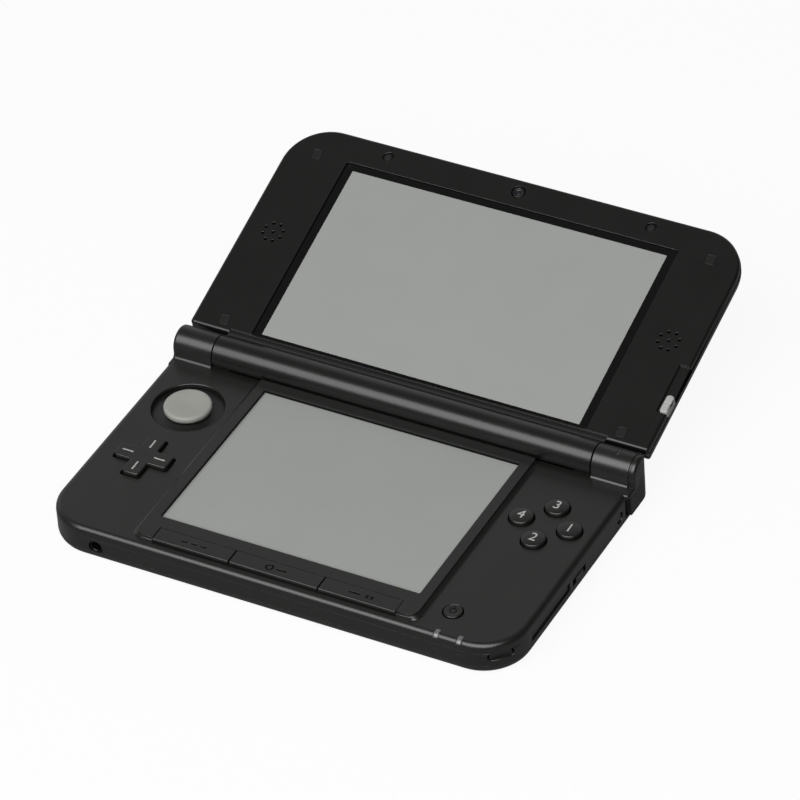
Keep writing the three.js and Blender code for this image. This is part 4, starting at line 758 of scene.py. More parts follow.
# Top case: the deck that carries the controls, a black moulding with a rounded upper edge, a trough for
# the lid's barrel and a knuckle at each end of it.
DECK_INSET = 0.03
DECK_EDGE = 1.9
DECK_PLATE = 1.3
BARREL_RADIUS = 5.1
BARREL_HALF = 64.1
TROUGH_GAP = 0.35
BEAM_WALL = 1.4
BEAM_INSET = 0.5
BEAM_DROP = 0.7
KNUCKLE_GAP = 0.3
KNUCKLE_EDGE = 0.3
KNUCKLE_FOOT = 1.3
KNUCKLE_INSET = 0.08
CHEEK_LOW = 9.85
CHEEK_EDGE = 0.8
CAP_START = 76.7
CAP_GROOVE = 0.45
CAP_SET_DOWN = 0.35
CAP_EDGE = 1.1
CAP_INNER_EDGE = 0.2
CAP_INSET = 0.06
CAP_FOOT_LOW = 10.05
PLAN_INSET = 0.03
GUIDE_DEPTH = 0.9
GUIDE_ON_DECK = 0.9
GUIDE_END = 158
GUIDE_GAP = 0.1
GUIDE_CUT = 0.5
PAD_WELL = 11.3
WELL_RIM = 0.4
WELL_LOW = 5
HOLE_RIM = 0.25
BUTTON_GAP = 0.3
FACE_BUTTON_RADIUS = 3.7
POWER_RADIUS = 2.9
CROSS_GAP = 0.45
CROSS_SPAN = 18
CROSS_ARM = 6
CROSS_CROOK = 0.5
CROSS_HOLE_TIP = 1.0
PANEL_GAP = 0.3

hinge = next(joint for joint in frame["joints"] if joint["name"] == "lid_hinge")
hinge_y, hinge_z = (c / MM for c in hinge["pos_m"][1:])
deck_top = box_of("screen_surround")[0].z
knuckle_start = BARREL_HALF + KNUCKLE_GAP
pad_middle = middle_of("slide_pad_cap")
cross_middle = middle_of("dpad")
power_middle = middle_of("power_button")
face_places = {f"face_button_{index}": middle_of(f"face_button_{index}") for index in range(1, 5)}


def round_hole(bm, middle, radius, rim, steps=64):
    """A cutter for a round hole in the deck with a softly rounded rim"""
    lip = radius + rim
    turned(
        bm,
        [
            (0, WELL_LOW), (radius, WELL_LOW), *arc(lip, deck_top - rim, rim, 180, 90, 5),
            (lip, deck_top + 1), (0, deck_top + 1),
        ],
        (middle.x, middle.y, 0),
        steps=steps,
    )


def cross_shape(bm, span, arm, z0, z1, tip, crook):
    """A plus-shaped prism with rounded tips and inner corners"""
    centre = Vector((cross_middle.x, cross_middle.y, z0))
    grid = bmesh.ops.create_grid(
        bm, x_segments=1, y_segments=1, size=arm / 2, matrix=Matrix.Translation(centre)
    )
    middle = grid["verts"][0].link_faces[0]
    for edge in list(middle.edges):
        outward = (edge.verts[0].co + edge.verts[1].co) / 2 - centre
        grown = bmesh.ops.extrude_edge_only(bm, edges=[edge])
        push_out(bm, grown, outward.normalized() * (span - arm) / 2)
    bmesh.ops.recalc_face_normals(bm, faces=bm.faces)
    whole = bmesh.ops.dissolve_faces(bm, faces=bm.faces[:])["region"][0]
    inner = [v for v in whole.verts if (v.co - centre).length < arm * 0.75]
    outer = [v for v in whole.verts if v not in inner]
    rounded(bm, inner, crook, 4, "VERTICES")
    rounded(bm, outer, tip, 4, "VERTICES")
    push_out(bm, bmesh.ops.extrude_face_region(bm, geom=bm.faces[:]), (0, 0, z1 - z0))
    bmesh.ops.recalc_face_normals(bm, faces=bm.faces)


def corner_plan():
    """The rear corners' plan drawn up past the knuckles, which keeps them a hair inside it"""
    return stacked(corner_ring, [(CHEEK_LOW - 1, PLAN_INSET), (hinge_z + 8, PLAN_INSET)])


def knuckle_on(side, knuckle_end, end_edge):
    """A round arch over the hinge line that runs from the barrel's end towards the base's side"""
    knuckle = bmesh.new()
    foot_y = hinge_y - BARREL_RADIUS - KNUCKLE_FOOT
    foot_z = deck_top - DECK_PLATE - 0.2
    arch = [
        (hinge_y + BARREL_RADIUS, foot_z),
        *((hinge_y + r, hinge_z + z) for r, z in arc(0, 0, BARREL_RADIUS, 0, 180, 32)),
        *arc(foot_y, deck_top + KNUCKLE_FOOT, KNUCKLE_FOOT, 0, -90, 8),
        (foot_y, foot_z),
    ]
    stretched(knuckle, arch, side * knuckle_start, side * knuckle_end)
    for end_x, radius in ((knuckle_start, KNUCKLE_EDGE), (knuckle_end, end_edge)):
        rim = [
            e for e in knuckle.edges
            if all(abs(v.co.x - side * end_x) < 1e-4 and v.co.z > deck_top - 0.5 for v in e.verts)
        ]
        rounded(knuckle, rim, radius, 5)
    return combined(knuckle, ("INTERSECT", corner_plan()))


def knuckle_cap():
    """The cap on the right knuckle's end, with the set-down bed of the groove that parts the two"""
    cap = bmesh.new()
    cap_foot = bmesh.new()
    groove_bed = bmesh.new()
    start = CAP_START + CAP_GROOVE
    width = half_width + CORNER_BULGE - CAP_INSET - start
    bed_radius = BARREL_RADIUS - CAP_SET_DOWN
    bed_low = CAP_FOOT_LOW + 0.05
    turned(
        cap,
        [
            (0, 0),
            *arc(BARREL_RADIUS - CAP_INNER_EDGE, CAP_INNER_EDGE, CAP_INNER_EDGE, -90, 0, 4),
            *arc(BARREL_RADIUS - CAP_EDGE, width - CAP_EDGE, CAP_EDGE, 0, 90, 10),
            (0, width),
        ],
        (start, hinge_y, hinge_z),
        steps=128,
        **ALONG_X,
    )
    foot_rings = [
        outline(
            cap_foot,
            width / 2,
            hinge_y - BARREL_RADIUS + 0.01,
            hinge_y + BARREL_RADIUS - 0.01,
            min(CAP_EDGE, width / 2 - 0.02),
            CAP_INNER_EDGE,
            z,
            x=start + width / 2,
        )
        for z in (CAP_FOOT_LOW, hinge_z)
    ]
    loft(cap_foot, foot_rings)
    bed = [
        (hinge_y + bed_radius, bed_low),
        *((hinge_y + r, hinge_z + z) for r, z in arc(0, 0, bed_radius, 0, 180, 40)),
        (hinge_y - bed_radius, bed_low),
    ]
    stretched(groove_bed, bed, CAP_START - 0.1, start + 0.5)
    return combined(cap, ("UNION", cap_foot), ("UNION", groove_bed), ("INTERSECT", corner_plan()))


def box_round(bm, box, gap, z0, z1):
    """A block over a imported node's plan, wider than it by a gap on each side"""
    low, high = box
    block(bm, low.x - gap, high.x + gap, low.y - gap, high.y + gap, z0, z1)


def guide_shape(bm, node, spread, proud):
    """A bar that follows the deck's front edge from its flat down onto the wall"""
    low, high = box_of(node)
    front = front_end + DECK_INSET
    bend_y = front + DECK_EDGE
    bend_z = deck_top - DECK_EDGE
    back = bend_y + GUIDE_ON_DECK
    inner = DECK_EDGE - GUIDE_DEPTH
    turn_end = GUIDE_END + math.degrees(spread / DECK_EDGE)
    points = [
        (back + spread, deck_top + proud),
        *arc(bend_y, bend_z, DECK_EDGE + proud, 90, turn_end, 10),
        *arc(bend_y, bend_z, inner, turn_end, 90, 4),
        (back + spread, deck_top - GUIDE_DEPTH),
    ]
    stretched(bm, points, low.x - spread, high.x + spread)


deck = stacked(base_ring, [
    *edge_levels(deck_top, DECK_INSET, DECK_EDGE, -1),
    (case_top, DECK_INSET),
    (case_top + RIM_SLOPE, CASE_WALL),
    (deck_top - DECK_PLATE, CASE_WALL + DRAFT),
])
beam = bmesh.new()
beam_front = hinge_y - BARREL_RADIUS - TROUGH_GAP - BEAM_WALL
beam_rings = [
    outline(
        beam,
        half_width - BEAM_INSET,
        beam_front,
        rear_end - BEAM_INSET,
        BEAM_INSET,
        REAR_CORNER - BEAM_INSET,
        z,
    )
    for z in (case_top + 0.01, deck_top - BEAM_DROP)
]
loft(beam, beam_rings)
trough = bmesh.new()
trough_radius = BARREL_RADIUS + TROUGH_GAP
trough_end = (-knuckle_start, hinge_y, hinge_z)
rod(trough, trough_radius, 0, 2 * knuckle_start, trough_end, steps=96, **ALONG_X)
behind = bmesh.new()
block(
    behind, -knuckle_start, knuckle_start, hinge_y, rear_end + 1, hinge_z - trough_radius, hinge_z + 6
)
cheek_edge = edge_levels(deck_top - OVERLAP, 0, CHEEK_EDGE, -1, 6)
cheeks = stacked(corner_ring, [(CHEEK_LOW, 0), *reversed(cheek_edge)])
cheeks = combined(cheeks, ("INTERSECT", corner_spaces(deck_top + 1)))
wells = bmesh.new()
round_hole(wells, pad_middle, PAD_WELL, WELL_RIM, 96)
for middle in face_places.values():
    round_hole(wells, middle, FACE_BUTTON_RADIUS + BUTTON_GAP, HOLE_RIM)
round_hole(wells, power_middle, POWER_RADIUS + BUTTON_GAP, HOLE_RIM)
cross_hole = bmesh.new()
hole_span = CROSS_SPAN + 2 * CROSS_GAP
hole_arm = CROSS_ARM + 2 * CROSS_GAP
cross_shape(cross_hole, hole_span, hole_arm, WELL_LOW, deck_top + 1, CROSS_HOLE_TIP, CROSS_CROOK)
surround_room = bmesh.new()
panel_low, panel_high = panel_box = box_of("touch_panel")
box_round(surround_room, panel_box, PANEL_GAP, WELL_LOW, deck_top + 1)
lights = bmesh.new()
for name in LIGHT_NAMES:
    guide_shape(lights, name, GUIDE_GAP, GUIDE_CUT)
notice_box = box_of("notification_light_guide")
box_round(lights, notice_box, GUIDE_GAP, hinge_z + 1, hinge_z + BARREL_RADIUS + 1)
deck = combined(
    deck,
    ("UNION", beam),
    ("DIFFERENCE", trough),
    ("DIFFERENCE", behind),
    ("DIFFERENCE", shoulder_room(case_top - 1, CHEEK_LOW + 0.05)),
    ("UNION", cheeks),
    ("UNION", knuckle_on(-1, half_width - KNUCKLE_INSET, CAP_EDGE)),
    ("UNION", knuckle_on(1, CAP_START, KNUCKLE_EDGE)),
    ("UNION", knuckle_cap()),
    ("DIFFERENCE", wells),
    ("DIFFERENCE", cross_hole),
    ("DIFFERENCE", surround_room),
    ("DIFFERENCE", lights),
    ("DIFFERENCE", stylus_hole()),
)
piece("control_deck", deck, black_plastic, "base", ["top_case"], edge=0.04)

# Screen surround: a raised plateau of the same black plastic round the touch screen, notched at its front
# for the row of keys.
SURROUND_SKIRT = 1.4
SURROUND_CORNER = 3.2
SURROUND_REAR_CORNER = 0.6
WINDOW_HALF = 43.3
WINDOW_FRONT = -33.57
WINDOW_BACK = 30.97
KEY_NOTCH_HALF = 40.55
KEY_ROW_BACK = -38.0
LEDGE_TOP = 12.1

surround_low, surround_high = box_of("screen_surround")
surround_half = surround_high.x - SURROUND_SKIRT
surround_top = surround_high.z


def surround_ring(bm, spread, z, step=0.0):
    """The plateau's plan, wider at the sides lower down and stepped back at its front"""
    return outline(
        bm,
        surround_half + spread,
        surround_low.y + step,
        surround_high.y,
        SURROUND_CORNER,
        SURROUND_REAR_CORNER,
        z,
    )


plateau = bmesh.new()
slope = [
    (deck_top - OVERLAP, SURROUND_SKIRT, 0), (deck_top + 0.12, 1.0, 0),
    (deck_top + 0.35, 0.65, 0), (deck_top + 0.65, 0.32, 0),
    (LEDGE_TOP - 0.12, 0.15, 0), (LEDGE_TOP, 0.08, 0.12), (LEDGE_TOP + 0.02, 0, 0.45),
    (surround_top - 0.18, -0.04, 0.48), (surround_top - 0.05, -0.08, 0.54), (surround_top, -0.2, 0.68),
]
loft(plateau, [surround_ring(plateau, spread, z, step) for z, spread, step in slope])
openings = bmesh.new()
low_z = deck_top - 2
high_z = surround_top + 1
block(openings, -WINDOW_HALF, WINDOW_HALF, WINDOW_FRONT, WINDOW_BACK, low_z, high_z, corner=0.5)
block(openings, -KEY_NOTCH_HALF, KEY_NOTCH_HALF, surround_low.y - 3, KEY_ROW_BACK, low_z, high_z)
plateau = combined(plateau, ("DIFFERENCE", openings))
piece(
    "surround_plateau", plateau, black_plastic, "base", ["screen_surround"], edge=0.03
)

# Touch screen: a switched-off panel, plain gray under a thin hard-coated film, with its display module
# behind it.
# A near-black matt band lines the walls of its window: painted shade, where those walls fall dark.
SHADE_BAND_TOP = 12.25
SHADE_BAND_SET_BACK = 0.12
screen_face = plastic(
    "screen_face", (0.322, 0.332, 0.317), 0.3, grain=0.04, gloss=0.25, variation=0.012
)
glass = bmesh.new()
box_round(glass, panel_box, 0, panel_low.z, panel_high.z)
piece("touch_film", glass, screen_face, "base", ["touch_panel"], edge=0.1)
# Near-black matt rubber: painted shade in the window's walls and in the sunk key marks, and the standby
# mark's dark print
dark_print_and_painted_shade = plastic("dark_print_and_painted_shade", (0.003, 0.003, 0.003), 0.75, grain=0.3, gloss=0.15)
# Painted shade: a near-black band set round the window's walls, where they fall dark
shade_band = bmesh.new()
window = bmesh.new()
block(shade_band, -WINDOW_HALF, WINDOW_HALF, WINDOW_FRONT, WINDOW_BACK, panel_high.z + 0.02, SHADE_BAND_TOP)
clear_half = WINDOW_HALF - SHADE_BAND_SET_BACK
clear_front = WINDOW_FRONT + SHADE_BAND_SET_BACK
clear_back = WINDOW_BACK - SHADE_BAND_SET_BACK
block(window, -clear_half, clear_half, clear_front, clear_back, deck_top, surround_top)
shade_band = combined(shade_band, ("DIFFERENCE", window))
piece("window_shade_band", shade_band, dark_print_and_painted_shade, "base", edge=0)


def dress(node, material):
    """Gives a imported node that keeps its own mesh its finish"""
    mesh = frame["nodes"][node].data
    mesh.materials.clear()
    mesh.materials.append(material)


module_metal = metal("module_metal", (0.35, 0.35, 0.36), 0.4)
dress("lower_lcd", module_metal)

# Main board and battery: a green circuit board and a cell in a gray wrapper. With the rubber sheets under
# the keys they lie inside the base and are seen only when it is taken apart.
board_mask = plastic("board_mask", (0.012, 0.06, 0.03), 0.4, grain=0.5, gloss=0.5, variation=0.3)
battery_wrap = plastic("battery_wrap", (0.15, 0.16, 0.18), 0.45, grain=0.2)
black_rubber = plastic("black_rubber", (0.012, 0.012, 0.012), 0.7, grain=0.5, gloss=0.3)
dress("main_board", board_mask)
dress("battery_pack", battery_wrap)
for node in ("dpad_membrane", "face_button_membrane", "front_key_membrane", "slide_pad_guide"):
    dress(node, black_rubber)

# Slide pad: a light gray disc with a dished top on a wide black skirt, which closes the well as the pad
# slides in any direction over its cross slider.
PAD_RADIUS = 7.45
PAD_TOP_EDGE = 0.95
PAD_SIDE_LOW = 10.9
PAD_DISH = 0.35
PAD_NECK = 4.85
PAD_NECK_LENGTH = 2.4
SKIRT_LOW = 9.1
SKIRT_TOP = 9.72
SKIRT_DOME = 0.35
SKIRT_FLAT_FROM = 8.8
SKIRT_SLOPE = 1.7
pad_top = box_of("slide_pad_cap")[1].z

pad_gray = plastic("pad_gray", (0.32, 0.32, 0.296), 0.5, grain=0.5, gloss=0.35, variation=0.03)
cap = bmesh.new()
rim_radius = PAD_RADIUS - PAD_TOP_EDGE
neck_low = pad_top - PAD_NECK_LENGTH
dish = [
    (rim_radius * (1 - i / 24), pad_top - PAD_DISH * (1 - math.cos(math.pi * i / 24)) / 2)
    for i in range(1, 24)
]
turned(
    cap,
    [
        (0, neck_low), (PAD_NECK, neck_low), (PAD_NECK, PAD_SIDE_LOW),
        (PAD_RADIUS - 0.2, PAD_SIDE_LOW), (PAD_RADIUS, PAD_SIDE_LOW + 0.2),
        *arc(rim_radius, pad_top - PAD_TOP_EDGE, PAD_TOP_EDGE, 0, 90, 10),
        *dish, (0, pad_top - PAD_DISH),
    ],
    (pad_middle.x, pad_middle.y, 0),
    steps=96,
)
piece("slide_pad_disc", cap, pad_gray, "slide_pad_cap", ["slide_pad_cap"], edge=0)
skirt_plastic = plastic("skirt_plastic", (0.009, 0.009, 0.0085), 0.38, gloss=0.6)
skirt = bmesh.new()
skirt_radius = PAD_WELL + 0.3
skirt_hole = PAD_NECK + 0.05
skirt_head = neck_low - 0.02
dome = [
    (SKIRT_FLAT_FROM - SKIRT_SLOPE * i / 8, SKIRT_TOP + SKIRT_DOME * (1 - math.cos(math.pi * i / 16)))
    for i in range(9)
]
turned(
    skirt,
    [
        (0, SKIRT_LOW), (skirt_radius, SKIRT_LOW), (skirt_radius, SKIRT_TOP), *dome,
        (skirt_hole, SKIRT_TOP + SKIRT_DOME), (skirt_hole, skirt_head), (0, skirt_head),
    ],
    (pad_middle.x, pad_middle.y, 0),
    steps=96,
)
piece("slide_pad_skirt", skirt, skirt_plastic, "slide_pad_cap", edge=0)
dress("slide_pad_cross_slider", skirt_plastic)

# Direction cross: one black key with four arms that rocks on a plastic pivot, each arm with a short light
# line printed on it.
LINE_LENGTH = 3.7
LINE_WIDTH = 0.5
LINE_CENTRE = 5.4
PRINT_PROUD = 0.03
CROSS_TIP = 1.4
CROSS_TOP_EDGE = 0.42
CROSS_LOW = 1.8

cross_top = box_of("dpad")[1].z
cross = bmesh.new()
cross_shape(cross, CROSS_SPAN, CROSS_ARM, deck_top - CROSS_LOW, cross_top, CROSS_TIP, CROSS_CROOK)
piece(
    "direction_key", cross, black_plastic, "dpad", ["dpad"],
    edge=CROSS_TOP_EDGE, rounds=5,
)
mark_ink = plastic("mark_ink", (0.43, 0.43, 0.41), 0.5, grain=0.1, gloss=0.3, variation=0.03)
lines = bmesh.new()
for ahead_x, ahead_y in ((1, 0), (0, 1), (-1, 0), (0, -1)):
    block_at(
        lines,
        cross_middle.x + ahead_x * LINE_CENTRE,
        cross_middle.y + ahead_y * LINE_CENTRE,
        LINE_LENGTH if ahead_x else LINE_WIDTH,
        LINE_LENGTH if ahead_y else LINE_WIDTH,
        cross_top - 0.3,
        cross_top + PRINT_PROUD,
    )
piece("direction_lines", lines, mark_ink, "dpad", edge=0)
dress("dpad_pivot", black_plastic)

# Face buttons: four round black buttons with a slightly crowned top and a printed number. A flange keeps
# each one under the deck, and one rubber sheet springs all four.
FACE_TOP_EDGE = 0.45
FACE_CROWN = 0.25
FACE_CAP_RADIUS = 3.68
FLANGE_PROUD = 0.6
FLANGE_TOP = 1.6
CROWN_STEPS = (0.72, 0.54, 0.36, 0.18)
NUMBER_SIZE = 4.86
NUMBER_THICKNESS = 0.05


def number(text, x, y, z, name, body):
    """A printed plain number as a thin mesh"""
    letters = bpy.data.curves.new(name, "FONT")
    letters.body = text
    letters.size = NUMBER_SIZE * MM
    letters.align_x = "CENTER"
    letters.align_y = "CENTER"
    letters.extrude = NUMBER_THICKNESS * MM
    letters.resolution_u = 4
    draft = bpy.data.objects.new(name, letters)
    scene.collection.objects.link(draft)
    bpy.context.view_layer.update()
    depsgraph = bpy.context.evaluated_depsgraph_get()
    mesh = bpy.data.meshes.new_from_object(draft.evaluated_get(depsgraph))
    bpy.data.objects.remove(draft)
    mesh.transform(Matrix.Translation((x * MM, y * MM, z * MM)))
    mesh.materials.clear()
    mesh.materials.append(mark_ink)
    printed = bpy.data.objects.new(name, mesh)
    scene.collection.objects.link(printed)
    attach(printed, body)


face_low, face_high = box_of("face_button_1")
face_edge = face_high.z - FACE_CROWN
flange_radius = FACE_BUTTON_RADIUS + FLANGE_PROUD
flange_top = deck_top - FLANGE_TOP
crown = [
    (FACE_CAP_RADIUS * share, face_edge + FACE_CROWN * (1 - share ** 2)) for share in CROWN_STEPS
]
for index, (name, middle) in enumerate(face_places.items(), 1):
    button = bmesh.new()
    turned(
        button,
        [
            (0, face_low.z), (flange_radius, face_low.z), (flange_radius, flange_top),
            (FACE_CAP_RADIUS, flange_top),
            *arc(FACE_CAP_RADIUS - FACE_TOP_EDGE, face_edge - FACE_TOP_EDGE, FACE_TOP_EDGE, 0, 80, 8),
            *crown, (0, face_high.z),
        ],
        (middle.x, middle.y, 0),
        steps=72,
    )
    piece(f"{name}_cap", button, black_plastic, name, [name], edge=0)
    number(str(index), middle.x, middle.y, face_high.z - 0.02, f"{name}_number", name)

# Row of three long keys in front of the touch screen, black, each with a plain mark sunk in its top, its
# bottom filled with near-black rubber as painted shade. A mark is a row of bars, each with its shift,
# length and width.
KEY_FRONT_EDGE = 0.35
KEY_LOW = 0.5
MARK_DEPTH = 0.22
MARK_CORNER = 0.2
SHADE_FILL_TOP = 0.1
SHADE_FILL_LOW = 0.5
RING_SHIFT = -2.4
RING_INNER = 0.75
RING_OUTER = 1.35
key_marks = {
    "select_button": [(-3.2, 1.9, 0.7), (0, 1.9, 0.7), (3.2, 1.9, 0.7)],
    "home_button": [(1.6, 3.4, 0.7)],
    "start_button": [(-2.0, 3.8, 0.7), (2.2, 0.8, 1.5), (3.8, 0.8, 1.5)],
}
for node, bars in key_marks.items():
    low, high = key_box = box_of(node)
    middle = middle_of(node)
    key = bmesh.new()
    marks = bmesh.new()
    shade_fills = bmesh.new()
    box_round(key, key_box, 0, deck_top + KEY_LOW, high.z)
    spans = ((marks, high.z - MARK_DEPTH, high.z + 1), (shade_fills, high.z - SHADE_FILL_LOW, high.z - SHADE_FILL_TOP))
    for shape, foot, head in spans:
        for shift, length, width in bars:
            block_at(shape, middle.x + shift, middle.y, length, width, foot, head, corner=MARK_CORNER)
        if node == "home_button":
            centre = (middle.x + RING_SHIFT, middle.y, 0)
            tube(shape, RING_INNER, RING_OUTER, foot, head, centre, steps=32)
    key = combined(key, ("DIFFERENCE", marks))
    soften(key, KEY_FRONT_EDGE, lambda p: p.y < low.y + 0.05 and p.z > high.z - 0.01, 5)
    piece(f"{node}_key", key, black_plastic, node, [node], edge=0.07, rounds=2)
    # Painted shade: a near-black fill at the bottom of the sunk mark, which darkens it
    piece(f"{node}_mark", shade_fills, dark_print_and_painted_shade, node, edge=0)

# Power button: a small round black button beside the start key, set in its hole with the same flange as
# the face buttons, with a dark standby mark filled in.
POWER_PROUD = 0.2
POWER_EDGE = 0.35
POWER_DISH = 0.03
STANDBY_INNER = 0.8
STANDBY_OUTER = 1.15
STANDBY_DEPTH = 0.3
STROKE_SHIFT = 1.45
STROKE_WIDTH = 0.34
STROKE_LENGTH = 0.5
power_low, power_high = box_of("power_button")
power_top = power_high.z + POWER_PROUD
power_side = POWER_RADIUS - 0.05
dish_top = power_top - POWER_DISH
button = bmesh.new()
turned(
    button,
    [
        (0, power_low.z), (POWER_RADIUS + FLANGE_PROUD, power_low.z),
        (POWER_RADIUS + FLANGE_PROUD, flange_top), (power_side, flange_top),
        *arc(power_side - POWER_EDGE, power_top - POWER_EDGE, POWER_EDGE, 0, 90, 5),
        (POWER_RADIUS - 0.9, power_top), (POWER_RADIUS - 1.1, dish_top), (0, dish_top),
    ],
    (power_middle.x, power_middle.y, 0),
    steps=64,
)
piece("power_cap", button, black_plastic, "power_button", ["power_button"], edge=0)
standby = bmesh.new()
standby_low = power_top - STANDBY_DEPTH
centre = (power_middle.x, power_middle.y, 0)
tube(standby, STANDBY_INNER, STANDBY_OUTER, standby_low, power_top, centre, steps=32)
stroke_y = power_middle.y + STROKE_SHIFT
block_at(standby, power_middle.x, stroke_y, STROKE_WIDTH, STROKE_LENGTH, standby_low, power_top)
piece("power_mark", standby, dark_print_and_painted_shade, "power_button", edge=0)

# Light guides: clear plastic bars that end flush in the deck's front edge, on the right knuckle and in
# the right wall.
GUIDE_PROUD = 0.06
WIRELESS_DOT = 0.6
clear_plastic = plastic(
    "clear_plastic", (0.12, 0.125, 0.12), 0.25, grain=0.05, gloss=1.0, variation=0.05
)
smoked_plastic = plastic(
    "smoked_plastic", (0.03, 0.03, 0.03), 0.3, grain=0.05, gloss=0.6, variation=0.05
)
for name in LIGHT_NAMES:
    guide = bmesh.new()
    guide_shape(guide, name, 0, GUIDE_PROUD)
    piece(f"{name}_bar", guide, clear_plastic, "base", [name], edge=0.15, rounds=3)
guide = bmesh.new()
box_round(guide, notice_box, 0, notice_box[0].z, notice_box[1].z)
piece(
    "notice_light_bar", guide, smoked_plastic, "base", ["notification_light_guide"],
    edge=0.08,
)
light_low, light_high = box_of("wireless_light_guide")
light_middle = middle_of("wireless_light_guide")
light_length = light_high.x - light_low.x
guide = bmesh.new()
turned(
    guide,
    [(0, 0), (WIRELESS_DOT, 0), (WIRELESS_DOT, light_length), (0, light_length + 0.1)],
    (light_low.x, light_middle.y, light_middle.z),
    steps=32,
    **ALONG_X,
)
piece(
    "wireless_light_dot", guide, clear_plastic, "base", ["wireless_light_guide"], edge=0
)

# Shoulder buttons: glossy black walls, moulded to the curve of the rear corners, that close them and
# swing on a pin at their inner ends.
SHOULDER_WALL = 2.6
gloss_black = plastic(
    "gloss_black", (0.004, 0.004, 0.0044), 0.2, grain=0.02, gloss=0.25, variation=0.05
)
for name, side in (("left_shoulder_button", -1), ("right_shoulder_button", 1)):
    low, high = box_of(name)
    band = stacked(corner_ring, [(cover_top + 0.04, 0), (CHEEK_LOW - 0.03, 0)])
    core = stacked(base_ring, [(low.z - 2, SHOULDER_WALL), (high.z + 1, SHOULDER_WALL)])
    under_barrel = bmesh.new()
    reach = knuckle_start + 0.3
    block(under_barrel, -reach, reach, 0, rear_end + 2, hinge_z - trough_radius, high.z + 2)
    band = combined(
        band,
        ("DIFFERENCE", core),
        ("INTERSECT", corner_spaces(high.z + 2, [side])),
        ("DIFFERENCE", under_barrel),
    )
    piece(f"{name}_wall", band, gloss_black, name, [name], edge=0.15, rounds=2)


# Side fittings: the volume slider on the left, and the wireless switch, the memory card door with its
# reader and the stylus on the right.
def refined(name, node, material, body, edge):
    """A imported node's shape with its edges rounded"""
    bm = bmesh.new()
    bm.from_mesh(frame["nodes"][node].data)
    bmesh.ops.scale(bm, vec=(1 / MM, 1 / MM, 1 / MM), verts=bm.verts)
    bmesh.ops.remove_doubles(bm, verts=bm.verts, dist=0.002)
    bmesh.ops.dissolve_limit(bm, angle_limit=math.radians(1), verts=bm.verts, edges=bm.edges)
    piece(name, bm, material, body, [node], edge=edge)


refined("volume_knob", "volume_slider", black_plastic, "volume_slider", 0.2)
refined("wireless_knob", "wireless_switch", black_plastic, "wireless_switch", 0.2)
refined("memory_card_door", "sd_card_door", black_plastic, "sd_card_door", 0.15)
refined("memory_card_cage", "sd_card_reader", steel, "base", 0.08)
refined("game_card_cage", "game_card_reader", steel, "base", 0.1)
pen = bmesh.new()
pen_length = stylus_high.x - stylus_low.x
turned(
    pen,
    [
        (0, 0), (0.35, 0.05), (0.55, 0.4), (1.1, 4.5), (1.6, 6.5), (1.8, 8), (1.8, pen_length - 3.2),
        (1.65, pen_length - 3), (1.65, pen_length - 2.6), (1.8, pen_length - 2.4),
        *arc(1.35, pen_length - 0.45, 0.45, 0, 90, 5), (0, pen_length),
    ],
    (stylus_low.x, stylus_middle.y, stylus_middle.z),
    steps=48,
    **ALONG_X,
)
piece("stylus_pen", pen, black_plastic, "stylus", ["stylus"], edge=0)

# Ports: the headphone jack in the front wall, a black moulding with a round nose, and in the rear wall
# the charging socket, a steel shell, and the dark infrared window.
JACK_NOSE_LENGTH = 1.7
jack_low, jack_high = box_of("headphone_jack")
jack = bmesh.new()
body_front = jack_low.y + JACK_NOSE_LENGTH
block(jack, jack_low.x, jack_high.x, body_front, jack_high.y, jack_low.z, jack_high.z, corner=0.4)
nose = bmesh.new()
turned(
    nose,
    [(0, 0), (1.95, 0), *arc(1.95, 0.2, 0.2, -90, 0, 3), (2.15, 2.3), (0, 2.3)],
    (JACK_X, jack_low.y, JACK_Z),
    steps=48,
    **ALONG_Y,
)
bore = bmesh.new()
turned(
    bore,
    [(0, -1), (1.75, -1), (1.75, 0.1), (1.55, 0.35), (1.55, 12), (0, 12)],
    (JACK_X, jack_low.y, JACK_Z),
    steps=48,
    **ALONG_Y,
)
jack = combined(jack, ("UNION", nose), ("DIFFERENCE", bore))
piece("headphone_barrel", jack, gloss_black, "base", ["headphone_jack"], edge=0.06)
refined("charging_shell", "charge_socket", steel, "base", 0.1)
refined("infrared_cover", "ir_window", gloss_black, "base", 0.15)

# Hinge: a plain steel pin at the left and a steel friction clutch at the right, both inside the barrel
# and the knuckles.
dress("left_hinge_pin", steel)
dress("right_hinge_clutch", steel)

# Lid bezel: the black moulding round the upper screen, with the hinge barrel in one piece at its foot and
# holes for the speakers, the camera and the rubber parts. Lid sizes are given in the lid's own frame: X
# along the hinge, Y up the lid from the hinge line and Z out of its inner face.
LID_FACE = 0.9
LID_SEAM = -1.6
LID_FOOT = 6.6
LID_HEAD = 86.95
LID_CORNER = 15
LID_FOOT_CORNER = 1.3
LID_FRONT_EDGE = 1
BEZEL_INSET = 0.15
BEZEL_SKIN = 1.3
LID_WALL = 1.1
LENS_HALF = 56.815
LENS_FOOT = 8.34
LENS_HEAD = 76.55
LENS_TOP = 0.4
LENS_LOW = -0.4
LENS_GAP = 0.15
LENS_SEAT = 0.3
SEAT_CORNER = 0.8
CAMERA_LINE = 82.1
CAMERA_HOLE = 2.25
BUMPER_HOLE = 1.95
BUMPER_RIM = 0.2
BUMPER_FLOOR = 0.1
SPEAKER_X = 67.6
SPEAKER_UP = 45.15
SPEAKER_RING = 3.3
SPEAKER_HOLE = 0.5
SPEAKER_RIM = 0.2
BUMPER_X = 45.2
PLUG_SIDE = 3.3
PLUG_GAP = 0.06
PLUG_CORNER = 0.9
BARREL_BORE = 3.7
MODULE_FOOT = 8.9
WEB_RADIUS = 3.5
SLIDER_LOW = 20.7
SLIDER_HIGH = 27.2
SLIDER_TRAVEL = 10.9
SLIDER_GAP = 0.3
